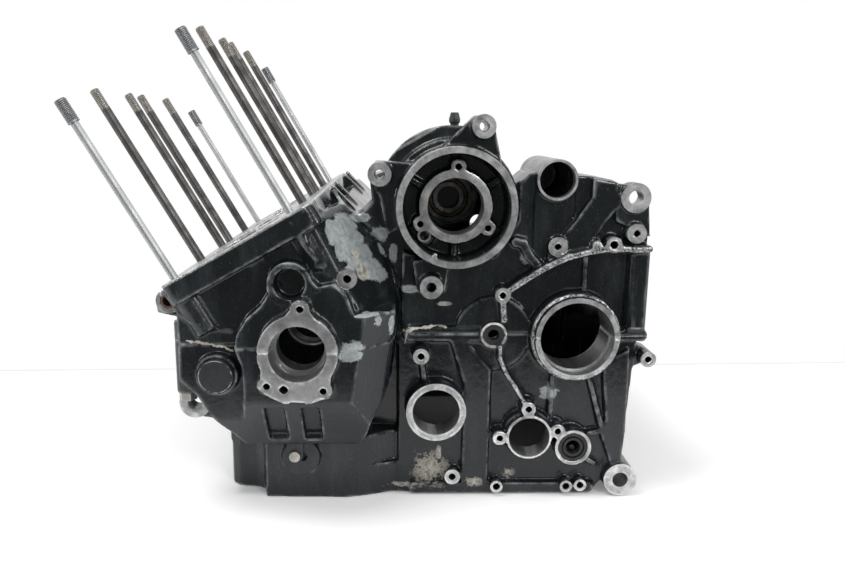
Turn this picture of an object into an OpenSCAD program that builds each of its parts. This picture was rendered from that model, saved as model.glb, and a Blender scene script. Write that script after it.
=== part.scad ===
// Crankcase of an across-the-frame four-cylinder motorcycle engine.
// Two aluminium castings meet on the plane of the crank and gearbox shafts. The
// cylinders lean forward on twelve studs, the gearbox lies behind the crank, and a
// drum above it carries the generator drive.
// Frame: the crank axis is Y and the origin is its middle, X points to the rear
// and Z up. The left side of the engine is at negative Y. All sizes in millimetres.

/* [Crank and cylinders] */
// Distance between neighbouring cylinder centres
bore_pitch = 80; // [77:1:83]
// Distance between the two stud rows beside the cam chain
chain_gap = 34; // [32:1:38]
// Bore in the deck for a cylinder sleeve
sleeve_d = 69; // [64:1:70]
// Lean of the cylinders forward of upright, in degrees
tilt = 30; // [29:0.5:31]
// Height of the deck above the crank axis
deck_height = 90; // [88:1:93]
// Thickness of the deck plate
deck_t = 17; // [15:1:19]
// Distance between the front and the rear stud row
row_gap = 99; // [97:1:101]
// Offset of the cylinder line in front of the crank axis
cylinder_offset = 5; // [3:1:7]
// Deck edge in front of the front studs
deck_front = 9.5; // [8:0.5:12]
// Deck edge behind the rear studs
deck_rear = 18.5; // [16:0.5:20]
// Distance from the outer studs to the end face of the case
end_margin = 14; // [13:0.5:16]
// Diameter of a main bearing bore
main_bore = 40; // [36:1:41]
// Thickness of a main bearing shell
shell_t = 2; // [1.5:0.5:3]
// Length of a main bearing
main_len = 13; // [11:0.5:14]
// Thickness of the webs that carry the main bearings
web_t = 16; // [15:1:18]
// Diameter of a main bolt
main_bolt_d = 8; // [7.5:0.5:9]
// Distance of the main bolts in front of and behind the crank
main_bolt_x = 29; // [28:0.5:33]

/* [Cylinder studs] */
// Thread diameter of the four end studs
end_stud_d = 10; // [9:0.5:11]
// Diameter of the thin shank of the end studs
end_shank_d = 6; // [5.5:0.5:8]
// Height of the four end studs above the deck
end_stud_h = 147; // [140:1:155]
// Diameter of the eight inner studs
inner_stud_d = 8; // [7.5:0.5:9]
// Height of the eight inner studs above the deck
inner_stud_h = 159; // [150:1:165]
// Length of thread at the top of a stud
stud_thread = 18; // [14:1:24]
// Depth to which a stud is screwed in
stud_depth = 22; // [18:1:24]

/* [Crank end flange] */
// Bore of the left crank end flange
flange_bore = 42; // [41.5:0.5:44]
// Outer diameter of the left flange ring
flange_od = 59; // [57:1:61]
// How far the crank end flanges stand out of the end faces
flange_out = 12; // [9:1:14]
// Radius of the circle of left flange screws
flange_screw_r = 33.5; // [32.5:0.5:35]
// Bore of the right crank end flange
right_bore = 68; // [64:1:70]
// Radius of the circle of right flange screws
right_screw_r = 43; // [42:0.5:45]

/* [Gearbox shafts] */
// Distance of the clutch shaft behind the crank
clutch_x = 150; // [148.5:0.5:151]
// Distance of the output shaft behind the crank
output_x = 215; // [214:0.5:217]
// Bore for the output bearing
output_bore = 59; // [56:1:60]
// Wall of the ring round the output bore
output_wall = 3.7; // [3:0.1:4.5]
// Plane of the output ring face, left of the middle
output_y = 160; // [157:1:162]
// Outer radius of the clutch shaft bearing housing
clutch_housing_r = 31; // [29:0.5:31]
// Outer diameter of the clutch rod seal
rod_seal_d = 17; // [15:0.5:18]
// Bore of the clutch rod seal
rod_d = 9; // [8:0.5:10]

/* [Gearbox walls] */
// Left face of the gearbox, left of the middle
left_y = 140; // [138:1:142]
// Right face of the gearbox, right of the middle
right_y = 150; // [148:1:156]
// Thickness of the cast walls
wall = 6; // [5:0.5:7]
// Rear face of the case, behind the crank
rear_x = 272; // [270:1:276]
// Depth of the sump face below the crank
sump_z = 139; // [137:1:142]
// Top of the gearbox above the crank
box_top = 55; // [53:1:57]
// Width of the flange round a cover opening
land = 12; // [10:1:14]
// Bore of the blank threaded holes for cover screws
tap_d = 5; // [4.5:0.1:5.5]

/* [Generator drum] */
// Distance of the generator axis behind the crank
gen_x = 117; // [116:0.5:118]
// Height of the generator axis above the crank
gen_z = 103; // [102:0.5:105]
// Outer diameter of the left ring of the drum
gen_od = 93; // [91:1:95]
// Wall of the left ring of the drum
gen_wall = 5.3; // [4:0.1:6]
// Plane of the left ring face, left of the middle
gen_y = 165; // [163:1:168]
// Outer diameter of the inner ring
gen_hub_od = 57; // [54:1:59]
// Bore of the inner ring
gen_hub_bore = 44; // [42:1:46]
// Radius of the circle of inner ring screws
gen_hub_screw_r = 30.5; // [29:0.5:32]
// Radius of the drum's mounting flange
gen_flange_r = 62; // [60:1:64]
// Radius of the circle of cover bosses
gen_boss_r = 63.7; // [62.5:0.1:65]
// Outer diameter of the shaft bearing
gen_bearing_od = 42; // [40:1:44]
// Bore of the shaft bearing
gen_bearing_id = 20; // [18:1:22]
// Width of the shaft bearing
gen_bearing_w = 12; // [11:1:14]

/* [Lower bores] */
// Bore of the oil filter seat
filter_bore = 38; // [35:1:40]
// Outer diameter of the oil filter seat
filter_od = 48; // [46:1:50]
// Bore for the selector drum
drum_bore = 33.5; // [31:0.5:34]
// Outer diameter of the selector drum ring
drum_od = 37.5; // [37:0.5:39]
// Radius of the circle of selector drum screws
drum_screw_r = 24; // [23.5:0.5:25]
// Outer diameter of the shift shaft seal
seal_od = 24; // [22:0.5:25]
// Diameter of the shift shaft
shift_shaft_d = 12; // [11:0.5:13]
// Radius of the gallery plug
plug_r = 15; // [13:0.5:16]
// Diameter of the cap plug at the front of the left end
cap_d = 26.6; // [24:0.2:28]

/* [Mounts] */
// Bore of the upper rear engine mounts
upper_mount_bore = 11.6; // [10:0.1:12.5]
// Outer diameter of the upper rear engine mounts
upper_mount_od = 23.4; // [22:0.2:25]
// Bore of the lower rear engine mount
lower_mount_bore = 12.9; // [11:0.1:14]
// Outer diameter of the lower rear engine mount
lower_mount_od = 27.6; // [26:0.2:28]
// Bore of the sleeves in the upper front mounts
bush_id = 8.4; // [8:0.1:9]
// Outer diameter of the sleeves in the upper front mounts
bush_od = 11; // [10.5:0.1:12]
// Bore of the lower front lugs
lug_bore = 11; // [10:0.5:12]

/* [Hidden] */
$fn = 64;
// Clearance of a fitted piece on each side
fit = 0.05;
// Overshoot of a cut past the face that it opens
over = 1;
// Reach of the half spaces
far = 420;

// Planes and rows worked out from the driving sizes
stud_y = [for (s = [-1, 1], i = [0, 1, 2])
    s * chain_gap / 2 + (s < 0 ? i - 2 : i) * bore_pitch];
bore_y = [for (s = [-1, 1], i = [0, 1]) s * (chain_gap / 2 + (i + 0.5) * bore_pitch)];
end_y = chain_gap / 2 + 2 * bore_pitch + end_margin;
chain_slot_half = chain_gap / 2 - web_t / 2 - 1.5;
wall_y = end_y - 12;
front_u = -cylinder_offset - row_gap / 2;
rear_u = -cylinder_offset + row_gap / 2;
deck_u0 = front_u - deck_front;
deck_u1 = rear_u + deck_rear;
deck_under = deck_height - deck_t;
journal_end = stud_y[5] + main_len / 2 + 0.5;
front_x = -92;

// Place of a point of the deck frame in the X-Z plane, and on a circle there
function deck_point(u, h) =
    [u * cos(tilt) - h * sin(tilt), u * sin(tilt) + h * cos(tilt)];
function polar(c, r, a) = c + r * [cos(a), sin(a)];

// Slabs and round bars along the three directions
module slab(y0, y1) {
    translate([0, y1, 0]) rotate([90, 0, 0]) linear_extrude(y1 - y0) children();
}
module bar_y(p, y0, y1, r) {
    translate([p[0], y1, p[1]]) rotate([90, 0, 0]) cylinder(r = r, h = y1 - y0);
}
module bar_z(p, z0, z1, r) {
    translate([p[0], p[1], z0]) cylinder(r = r, h = z1 - z0);
}
module deck_frame() {
    rotate([0, -tilt, 0]) children();
}
module above_split() {
    intersection() {
        children();
        translate([-far / 2, -far, 0]) cube([2 * far, 2 * far, far]);
    }
}
module below_split() {
    intersection() {
        children();
        translate([-far / 2, -far, -far]) cube([2 * far, 2 * far, far]);
    }
}
module ring_y(p, y0, y1, r_out, r_in) {
    difference() {
        bar_y(p, y0, y1, r_out);
        bar_y(p, y0 - over, y1 + over, r_in);
    }
}
// Rail of constant width along a line of points, with round corners
module rail(points, width) {
    for (i = [0 : len(points) - 2]) {
        d = points[i + 1] - points[i];
        translate(points[i]) rotate(atan2(d[1], d[0]))
            translate([0, -width / 2]) square([norm(d), width]);
    }
    for (p = points) translate(p) circle(d = width + 0.8);
}
module round_rect(x0, x1, y0, y1, r) {
    translate([x0 + r, y0]) square([x1 - x0 - 2 * r, y1 - y0]);
    translate([x0, y0 + r]) square([x1 - x0, y1 - y0 - 2 * r]);
    for (x = [x0 + r, x1 - r], y = [y0 + r, y1 - r]) translate([x, y]) circle(r);
}

// Outlines in the X-Z plane
deck_a = deck_point(deck_u0, deck_under);
deck_b = deck_point(deck_u1, deck_under);
hump = [[28, 103], [38, 94], [49, 83], [59, 71], [67, 58], [73, 44], [77, 28],
    [80, 14], [81, 0]];
crank_upper = concat([[front_x, 0], [front_x, 24], deck_a + [2, -4], deck_a + [4, 1],
    deck_b + [-4, 1]], hump);
crank_upper_end = [[front_x, 0], [front_x, 24], deck_a + [2, -4], deck_a + [4, 1],
    deck_b + [-12, 1], [18, 72], [44, 30], [46, 0]];
room_front = [[front_x + wall, -over], [front_x + wall, 26],
    deck_point(deck_u0 + 2 * wall, deck_under - 4),
    deck_point(rear_u, deck_under - 4)];
room_upper = concat(room_front, [[38, 82], [52, 68], [64, 50], [70, 26], [74, -over]]);
room_upper_end = concat(room_front, [[18, 62], [32, 42], [40, 24], [42, -over]]);
front_lower = [[front_x, 0], [front_x, -28], [-80, -40], [-73, -51], [-64, -65],
    [-56, -75]];
crank_lower = concat(front_lower, [[-60, -88], [-68, -90], [-68, -100], [84, -100],
    [84, 0]]);
crank_lower_end = concat(front_lower, [[-48, -88], [40, -88], [48, -40], [50, 0]]);
front_room = [[front_x + wall, over], [front_x + wall, -26], [-75, -37], [-68, -48],
    [-59, -61], [-50, -72]];
room_lower = concat(front_room, [[-54, -101], [76, -101], [76, over]]);
room_lower_end = concat(front_room, [[-44, -56], [38, -56], [44, over]]);
box_near = [[76, 0], [76, 66], [100, 58], [150, 62], [168, 92], [168, 122],
    [176, 129], [224, 127], [242, 124], [252, 112], [256, 96], [rear_x, 84],
    [rear_x, 0]];
box_upper = [[74, 0], [74, 50], [92, box_top], [rear_x - 14, box_top],
    [rear_x, box_top - 12], [rear_x, 0]];
box_lower = [[74, 0], [74, -sump_z], [238, -sump_z], [rear_x - 10, -110],
    [rear_x - 8, -83], [rear_x - 4, -15], [rear_x - 2, 0]];
box_room_lower = [[84, over], [84, -sump_z - over], [226, -sump_z - over],
    [242, -112], [256, -84], [262, -16], [264, over]];
bulge_upper = [[-48, 0], [-46, 11], [-39, 23], [-28, 33], [-21, 44], [12, 47],
    [26, 50], [35, 42], [41, 25.5], [71, 25], [72, 0]];
bulge_lower = [[-48, 0], [-43, -14], [-42, -35], [-47, -71], [-46, -88],
    [45, -88], [50, -74], [53, -62], [66, -41.5], [69.5, -9], [70.5, 0]];

// Crank ends
flange_screws = [for (a = [86, 227, 303]) polar([0, 0], flange_screw_r, a)];
right_screws = [for (a = [30 : 60 : 330]) polar([0, 0], right_screw_r, a)];
recess = [-6.5, 49.5];
side_boss = [35, 52];
module left_flange_outline() {
    circle(d = flange_od);
    for (p = flange_screws) {
        translate(p) circle(r = 7);
        rotate(atan2(p[1], p[0])) polygon([[flange_od / 2 - 6, -14],
            [flange_screw_r, -6.4], [flange_screw_r, 6.4], [flange_od / 2 - 6, 14]]);
    }
    polygon([[-26, -20], [-23, -31], [-13, -36], [10, -37], [19, -33], [22, -20]]);
    for (x = [-10, 8]) translate([x, -32.5]) circle(r = 5.5);
}
module crank_flanges() {
    slab(-end_y - flange_out, -end_y + 2) left_flange_outline();
    slab(end_y - 2, end_y + flange_out) {
        circle(r = right_bore / 2 + 7);
        for (p = right_screws) translate(p) circle(r = 7);
    }
}
module crank_bores() {
    bar_y([0, 0], -end_y - flange_out - over, -journal_end, flange_bore / 2);
    bar_y([0, 0], -journal_end - over, journal_end + over, main_bore / 2);
    bar_y([0, 0], journal_end, end_y + flange_out + over, right_bore / 2);
    for (p = flange_screws)
        bar_y(p, -end_y - flange_out - over, -end_y + 6, tap_d / 2);
    bar_y([-10.5, -27], -end_y - flange_out - over, -end_y + 8, 3);
    for (p = right_screws)
        bar_y(p, end_y - 4, end_y + flange_out + over, tap_d / 2);
}
// The raised left end: its outline seen from the left, cut by a slanting flank
// behind the flange and, below the split, by a face that slopes back to the sump
module crank_end_left(outline) {
    intersection() {
        slab(-end_y, -110) polygon(outline);
        rotate([0, 8, 0]) translate([0, 0, -120]) linear_extrude(240)
            polygon([[-70, -end_y], [44, -end_y], [67, -end_y + 23], [78, -110],
                [-70, -110]]);
    }
}
module sloping_end() {
    translate([-120, 0, 0]) rotate([90, 0, 90]) linear_extrude(220)
        polygon([[-end_y - flange_out, over], [-end_y - flange_out, -42],
            [-end_y, -42], [-158, -88.5], [-100, -88.5], [-100, over]]);
}

// Bolts through the split plane: main bolts in the webs, smaller ones behind
main_bolt_at = [for (i = [1 : 4], s = [-1, 1]) [s * main_bolt_x, stud_y[i]]];
main_bolt_seat = -62;
end_web = 18;
end_bolt_at = [for (s = [-1, 1]) [s * main_bolt_x, wall_y - 11.5]];
end_bolt_seat = -42;
main_bolt_top = 30;
gear_bolt_at = [[113, -124], [180.5, -124], [253, -124], [113, 84], [183, 84],
    [247, 84]];
gear_bolt_d = 6;
gear_bolt_seat = -34;
front_bolt_at = [for (s = [-1, 1]) [-89, s * (end_y - 23.5)]];
front_bolt_d = 8;
front_bolt_seat = -40;
front_bolt_top = 12;
dowel_at = [main_bolt_at[1], main_bolt_at[6], gear_bolt_at[0]];
dowel_d = 12;
dowel_h = 7;

// Generator drum: left ring, inner ring, mounting flange and bearing wall
gen_c = [gen_x, gen_z];
gen_floor_y = 132;
gen_back_y = 50;
gen_boss_at = [for (a = [73, 157, 253]) polar(gen_c, gen_boss_r, a)];
gen_hub_at = [for (a = [87, 207, 327]) polar(gen_c, gen_hub_screw_r, a)];
hub_dowel_at = [93.2, 79.6];
hub_dowel_d = 10.6;
gen_body_r = gen_od / 2 + 5;
bearing_y1 = -gen_back_y - wall;
bearing_y0 = bearing_y1 - gen_bearing_w;
module generator_drum() {
    bar_y(gen_c, -gen_y, -gen_floor_y + 4, gen_od / 2);
    bar_y(gen_c, -gen_floor_y, -gen_back_y, gen_body_r);
    intersection() {
        union() {
            bar_y(gen_c, -106, -94, gen_flange_r);
            bar_y(gen_c, -88, -76, gen_flange_r - 3);
        }
        translate([gen_x - far / 2, -120, gen_z]) cube([far / 2 + 12, 60, far / 2]);
    }
    for (p = gen_boss_at) bar_y(p, -gen_y, -gen_floor_y, 8.8);
    slab(-150, -gen_floor_y) {
        polygon([polar(gen_c, gen_boss_r + 7, 67), polar(gen_c, gen_boss_r + 7, 79),
            polar(gen_c, gen_od / 2, 103), polar(gen_c, gen_od / 2 - 6, 70),
            polar(gen_c, gen_od / 2, 40)]);
        polygon([polar(gen_c, gen_boss_r + 7, 151), polar(gen_c, gen_boss_r + 8, 162),
            [58, 110], [64, 80], polar(gen_c, gen_od / 2 - 4, 200),
            polar(gen_c, gen_od / 2, 135)]);
        polygon([[88, 36], [84, 60], [114, 64], [110, 36]]);
    }
    slab(-gen_floor_y - 1, -84) polygon([[50, 124], [52, 104], [40, 92], [57, 74],
        [70, 50], [77, 20], [80, 0], [100, 0], [100, 58], [90, 90], [84, 136]]);
}
module generator_spokes() {
    for (a = [30 : 60 : 330]) translate([gen_x, -gen_floor_y - 7, gen_z])
        rotate([0, -a, 0]) translate([gen_hub_bore / 2 + 1, 0, -2.5])
            cube([gen_od / 2 - gen_hub_bore / 2 - 3, 8, 5]);
}
module generator_rooms() {
    difference() {
        bar_y(gen_c, -gen_y - over, -gen_floor_y, gen_od / 2 - gen_wall);
        bar_y(gen_c, -gen_y + 15, -gen_floor_y + over, gen_hub_od / 2);
        for (p = gen_hub_at) bar_y(p, -gen_y + 15, -gen_floor_y + over, 6);
        bar_y(hub_dowel_at, -gen_floor_y - 8, -gen_floor_y + over, hub_dowel_d / 2 + 3);
        generator_spokes();
    }
    bar_y(gen_c, -gen_y, -gen_floor_y + wall + over, gen_hub_bore / 2);
    difference() {
        bar_y(gen_c, -gen_floor_y + wall, -gen_back_y - wall, gen_od / 2);
        bar_y(gen_c, bearing_y0 - 3, -gen_back_y, gen_bearing_od / 2 + 5);
    }
    bar_y(gen_c, bearing_y0 - 4, bearing_y1, gen_bearing_od / 2 + fit);
    for (a = [-40, 50, 140, 230])
        bar_y(polar(gen_c, 37, a), -gen_back_y - wall - over, -gen_back_y + over, 7.5);
    bar_y(gen_c, bearing_y1 - over, bearing_y1 + 2, gen_bearing_od / 2 - 4);
    for (p = gen_hub_at) bar_y(p, -gen_y, -gen_floor_y + 4, tap_d / 2);
    for (p = gen_boss_at) bar_y(p, -gen_y - over, -gen_floor_y + 2, 3.6);
    bar_y(hub_dowel_at, -gen_floor_y - 14, -gen_floor_y + 3, hub_dowel_d / 2 + fit);
}

// Left side of the gearbox: cover rail, rings and bosses
tube_c = [195.3, 124.3];
tube_y = 150;
tube_d = 27.8;
upper_mount = [257.4, 111.1];
mount_y = 150;
mount_len = 17;
boss_a = [198, 72.3];
boss_c = [258.8, 83.6];
eye_b = [241, 74.8];
ring_boss = [155.2, 34];
rail_y = 155;
upper_rail = [[rear_x - 2.5, 71.5], [258, 71], [241, 72], [225, 69.5], [207, 65],
    [189.6, 57], [172, 46], ring_boss, [157, 14]];
lower_rail = [[154.6, -8], [155, -18.4], [160, -30], [167.4, -41], [177.8, -58]];
clutch_c = [clutch_x, 0];
output_c = [output_x, 0];
clutch_ring_r = rod_seal_d / 2 + 2.1;
clutch_ring_y = 148;
module gearbox_left_upper() {
    slab(-rail_y, -left_y + over) rail(upper_rail, 5);
    bar_y(ring_boss, -rail_y, -left_y + over, 6);
    bar_y(eye_b, -rail_y, -left_y + over, 6.2);
    bar_y([228, 74], -rail_y, -left_y + over, 4.2);
    bar_y(boss_a, -tube_y, -left_y + over, 7.6);
    bar_y(boss_c, -tube_y - 3, -left_y + over, 7.6);
    slab(-tube_y + 2, -left_y + over) {
        polygon([[190, 58], [191, 72], [205, 74], [208, 64]]);
        polygon([[224, 126], [223.5, 111], [212, 93], [200.5, 79], [206, 68],
            [224.5, 74], [235, 91], [245, 104], [243, 123]]);
    }
    bar_y(tube_c, -tube_y, -62, tube_d / 2 + 2);
    slab(-left_y - 3, -left_y + over) polygon([[179.5, 60], [179.5, 124], [211, 124],
        [211, 92], [197, 74], [190, 58]]);
    bar_y(upper_mount, -mount_y, -mount_y + mount_len, upper_mount_od / 2);
    slab(-mount_y + 4, -mount_y + mount_len) polygon([[240, 122], [244, 92],
        [rear_x, 80], [rear_x - 3, 112], [260, 120]]);
    translate([0, 0, 6]) linear_extrude(62) polygon([[255, -left_y + over],
        [256, -left_y - 8], [261, -left_y - 12], [rear_x - 3, -left_y - 12],
        [rear_x, -left_y - 9], [rear_x, -left_y + over]]);
    slab(-left_y - 5, -left_y + over) rail([[222, 62], [222, 36]], 4);
    slab(-left_y - 8, -left_y + over) rail([polar(gen_c, 56, -30), [171, 74],
        [176, 64], [184, 56]], 7);
}
module gearbox_left_shared() {
    bar_y(output_c, -output_y, -left_y + over, output_bore / 2 + output_wall);
    bar_y(output_c, -output_y + 5, -left_y + over, output_bore / 2 + output_wall + 3);
    bar_y(clutch_c, -left_y - 4, -left_y + 12, clutch_housing_r);
    bar_y(clutch_c, -clutch_ring_y, -left_y + over, clutch_ring_r);
    slab(-left_y - 6, -left_y + over) rail([[84, 0], [140, 0]], 12);
    slab(-left_y - 9, -left_y + over) rail([[244, 0], [rear_x - 2, 0]], 9);
}
module gearbox_shared_bores() {
    bar_y(output_c, -output_y - over, -left_y + 30, output_bore / 2);
    bar_y(output_c, -output_y + 12, -output_y + 14, half_ring_r + fit);
    bar_y(clutch_c, -clutch_ring_y - over, -clutch_ring_y + 8, rod_seal_d / 2 + fit);
    bar_y(clutch_c, -clutch_ring_y - over, -left_y + 10, rod_d / 2 + 1);
    bar_y(clutch_c, -left_y + wall, -left_y + 32, 24);
    bar_y(clutch_c, 88, 114, 28);
    bar_y(output_c, 88, 114, 24);
}
half_ring_r = output_bore / 2 + 1.6;
// Walls and bosses inside the gearbox that carry the shafts and bolts
module gearbox_inside() {
    bar_y(clutch_c, -left_y + 1, -left_y + 28, clutch_housing_r);
    bar_y(output_c, -left_y + 1, -left_y + 26, output_bore / 2 + output_wall + 2);
    slab(92, 110) polygon([[78, -sump_z], [78, 44], [rear_x - 4, 44],
        [rear_x - 9, -60], [rear_x - 14, -100], [234, -sump_z]]);
    for (b = gear_bolt_at) translate([b[0] - 7.5, b[1] < 0 ? -left_y + 1 : b[1] - 8,
        gear_bolt_seat]) cube([15, b[1] < 0 ? left_y + b[1] + 7 : 18, 60]);
}

// Lower left side: filter seat, selector drum, shift shaft and mounts
filter_c = [104.2, -61.5];
filter_y = 158;
drum_c = [180.8, -84.4];
drum_y = 155;
shift_c = [217.4, -93.2];
drum_screws = [for (a = [93, 182, 12]) polar(drum_c, drum_screw_r, a)];
shaft_boss = [91.5, -15];
lower_mount = [259.8, -124.1];
small_boss = [276.2, -19.5];
foot_bosses = [[119, -121], [156, -130], [214.4, -130], [226.3, -129]];
module gearbox_left_lower() {
    slab(-rail_y, -left_y + over) rail(lower_rail, 3.6);
    bar_y(filter_c, -filter_y, -left_y + over, filter_od / 2);
    bar_y(shaft_boss, -filter_y, -left_y + over, 6.3);
    slab(-left_y - 6, -left_y + over) rail([shaft_boss, [95, -40]], 4);
    bar_y(drum_c, -drum_y, -left_y + over, drum_od / 2);
    bar_y(drum_c, -drum_y + 5, -left_y + over, drum_od / 2 + 2);
    for (p = drum_screws) bar_y(p, -drum_y, -left_y + over, 6);
    bar_y(shift_c, -drum_y, -left_y + over, seal_od / 2 + 2.8);
    bar_y(lower_mount, -mount_y, -98, lower_mount_od / 2);
    bar_y(small_boss, -mount_y, -118, 6.3);
    slab(-mount_y + 12, -120) polygon([[262, -6], [262, -32], [275, -26], [278, -14]]);
    bar_y(foot_bosses[0], -mount_y, -left_y + over, 6.4);
    for (i = [1 : 3]) bar_y(foot_bosses[i], -mount_y, -left_y + over, 5.2);
    slab(-left_y - 6, -left_y + over) {
        polygon([[130, -8], [149, -30], [149, -sump_z + 8], [127, -sump_z + 8],
            [127, -42], [116, -8]]);
        rail([[200, -30], [199, -80]], 4);
        rail([[228, -30], [246, -90], [254, -112]], 4);
        rail([[230, -86], [246, -82]], 4);
        rail([[226, -104], [238, -112]], 4);
        polygon([[240, -24], [262, -12], [rear_x - 9, -83], [rear_x - 11, -110],
            [256, -116], [247, -84]]);
        rail([[88, -sump_z + 6], [234, -sump_z + 6]], 9);
    }
}
module lower_bores() {
    bar_y(filter_c, -filter_y - over, -left_y + wall + over, filter_bore / 2);
    bar_y(shaft_boss, -filter_y - over, -left_y + 4, 2.7);
    bar_y(drum_c, -drum_y - over, -left_y + wall + over, drum_bore / 2);
    for (p = drum_screws) bar_y(p, -drum_y - over, -left_y + 4, tap_d / 2);
    bar_y(shift_c, -drum_y - over, -drum_y + 8, seal_od / 2 + fit);
    bar_y(shift_c, -drum_y, -left_y + wall + over, shift_shaft_d / 2 + 0.4);
    bar_y(lower_mount, -mount_y - over, -96, lower_mount_bore / 2);
    bar_y(small_boss, -mount_y - over, -132, 2.6);
    for (p = foot_bosses) bar_y(p, -mount_y - over, -left_y, 2.8);
}

// Front and sump
front_mount = [-98.6, 33];
front_mount_y = wall_y - 15;
front_lug = [-86.5, -53];
lug_y = end_y - 41;
cap_c = [-62.4, -21];
cap_y = end_y;
plug_c = [-5, -102];
plug_y = 152;
keeper_at = [-9.5, -99.5];
sump_floor = sump_z - 9;
function sump_edge(inset) = [[-68 + inset, -116 + inset], [-66 + inset, -122 + inset],
    [-60 + inset, -127 + inset], [-44, -130 + inset], [-38, -134 + inset],
    [-34, -148 + inset], [34, -150 + inset], [50, -146 + inset], [66, -136 + inset],
    [84, -130 + inset], [96, -left_y + inset], [236 - inset, -left_y + inset],
    [236 - inset, right_y - 14 - inset], [-68 + inset, right_y - 14 - inset]];
module front_mount_body(s) {
    y0 = s * front_mount_y - 11;
    bar_y(front_mount, y0, y0 + 22, 9);
    slab(y0, y0 + 22) polygon([front_mount + [-8.9, -1], front_mount + [-8.5, -9],
        [front_x + 3, 20], [front_x + 7, 36], front_mount + [0, 8.9]]);
}
module front_lug_body(s) {
    slab(s * lug_y - 9, s * lug_y + 9) {
        translate(front_lug) circle(r = 12);
        polygon([front_lug + [-11.5, 3], [-96, -30], [-72, -30], [-62, -68],
            front_lug + [5, -11.5]]);
    }
}
module sump_block() {
    translate([0, 0, -sump_z]) linear_extrude(sump_z - 86) polygon(sump_edge(0));
    translate([0, 0, -sump_z]) linear_extrude(sump_z - 112)
        polygon([[50, -146], [68, -140], [88, -135], [98, -left_y - 3], [100, -126],
            [50, -126]]);
}

// The cast halves before they are hollowed
module upper_body() {
    deck_frame() translate([0, 0, deck_under]) linear_extrude(deck_t)
        round_rect(deck_u0, deck_u1, -end_y, end_y, 9);
    slab(-122, wall_y) polygon(crank_upper);
    slab(-wall_y, -120) polygon(crank_upper_end);
    hull() {
        slab(-end_y + 8, -end_y + 9) polygon([[8, 96], [4, 84], [14, 66], [30, 44],
            [46, 24], [46, 0], [20, 0]]);
        slab(-124, -122) polygon(concat([[0, 60], [12, 96]], hump, [[20, 0]]));
    }
    crank_end_left(bulge_upper);
    above_split() {
        for (s = [-1, 1], u = [front_u, rear_u]) deck_frame()
            translate([u, s * stud_y[5], 44]) cylinder(r = 9, h = deck_under - 43);
        crank_flanges();
        gearbox_left_shared();
        gearbox_inside();
    }
    slab(-end_y - 0.7, -wall_y + over) {
        translate(recess) circle(r = 16.4);
        polygon([[-23, 44], recess + [-16.5, 3], recess + [16.5, 3], [17, 44]]);
    }
    slab(wall_y - over, end_y) polygon([[-52, 0], [-48, 28], [-20, 50], [20, 50],
        [48, 28], [52, 0]]);
    bar_y(side_boss, -end_y + 8, -150, 7.3);
    slab(-left_y, -84) polygon(box_near);
    slab(-86, right_y) polygon(box_upper);
    generator_drum();
    gearbox_left_upper();
    for (s = [-1, 1]) front_mount_body(s);
    for (b = front_bolt_at) bar_z(b, 0, front_bolt_top + 5, 8);
    bar_y(upper_mount, right_y - mount_len, right_y, upper_mount_od / 2);
    slab(right_y - mount_len, right_y - 4) polygon([[206, box_top - 3], [244, 114],
        upper_mount + [-3, 11], upper_mount + [11, 3], [rear_x, 60], [rear_x, 42]]);
    for (y = [-104, -60, 60, 104]) slab(y - 4, y + 4)
        polygon([deck_b, deck_b + [-2, 18], [19, 116], [38, 96], [26, 84]]);
}
module lower_body() {
    slab(-122, wall_y) polygon(crank_lower);
    intersection() {
        union() {
            crank_end_left(bulge_lower);
            slab(-wall_y, -120) polygon(crank_lower_end);
        }
        sloping_end();
    }
    slab(wall_y - over, end_y) polygon([[-52, 0], [-50, -30], [-30, -56], [30, -56],
        [50, -30], [52, 0]]);
    below_split() {
        crank_flanges();
        gearbox_left_shared();
        gearbox_inside();
    }
    slab(-left_y, right_y) polygon(box_lower);
    gearbox_left_lower();
    for (s = [-1, 1]) front_lug_body(s);
    for (b = front_bolt_at) bar_z(b, front_bolt_seat, 0, 8);
    bar_y(cap_c, -cap_y + 3, -wall_y + over, cap_d / 2 + 2.5);
    sump_block();
}

// Rooms inside the halves
module upper_rooms() {
    for (y = bore_y) deck_frame() translate([-cylinder_offset, y, 34])
        cylinder(d = sleeve_d, h = deck_height);
    deck_frame() translate([0, 0, deck_under - 8]) linear_extrude(deck_t + 10)
        round_rect(front_u + 16, rear_u + 6, -chain_slot_half, chain_slot_half, 6);
    for (y = bore_y) {
        y0 = max(y - bore_pitch / 2 + web_t / 2, end_web - wall_y);
        y1 = min(y + bore_pitch / 2 - web_t / 2, wall_y - end_web);
        slab(max(y0, -118), y1) polygon(room_upper);
        if (y0 < -118) slab(y0, -117) polygon(room_upper_end);
    }
    slab(-chain_gap / 2 + web_t / 2, chain_gap / 2 - web_t / 2) polygon(room_upper);
    for (y = stud_y) if (abs(y) < wall_y - web_t)
        bar_y([52, 30], y - web_t, y + web_t, 11);
    slab(-left_y + wall, -92) polygon([[84, -over], [84, 38], [150, 48], [178, 86],
        [180, 98], [208, 102], [226, 112], [236, 112], [242, 104], [246, 88],
        [rear_x - wall, 74], [rear_x - wall, -over]]);
    slab(-93, right_y - 10) polygon([[84, -over], [84, 40], [96, box_top - wall],
        [rear_x - 16, box_top - wall], [rear_x - wall, box_top - 16],
        [rear_x - wall, -over]]);
    slab(right_y - 11, right_y + over) polygon([[74 + land, -over], [74 + land, 36],
        [98, box_top - land], [rear_x - 20, box_top - land],
        [rear_x - land, box_top - 20], [rear_x - land, -over]]);
    slab(20, 80) polygon([[68, 6], [66, 34], [90, 34], [90, 6]]);
}
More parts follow.
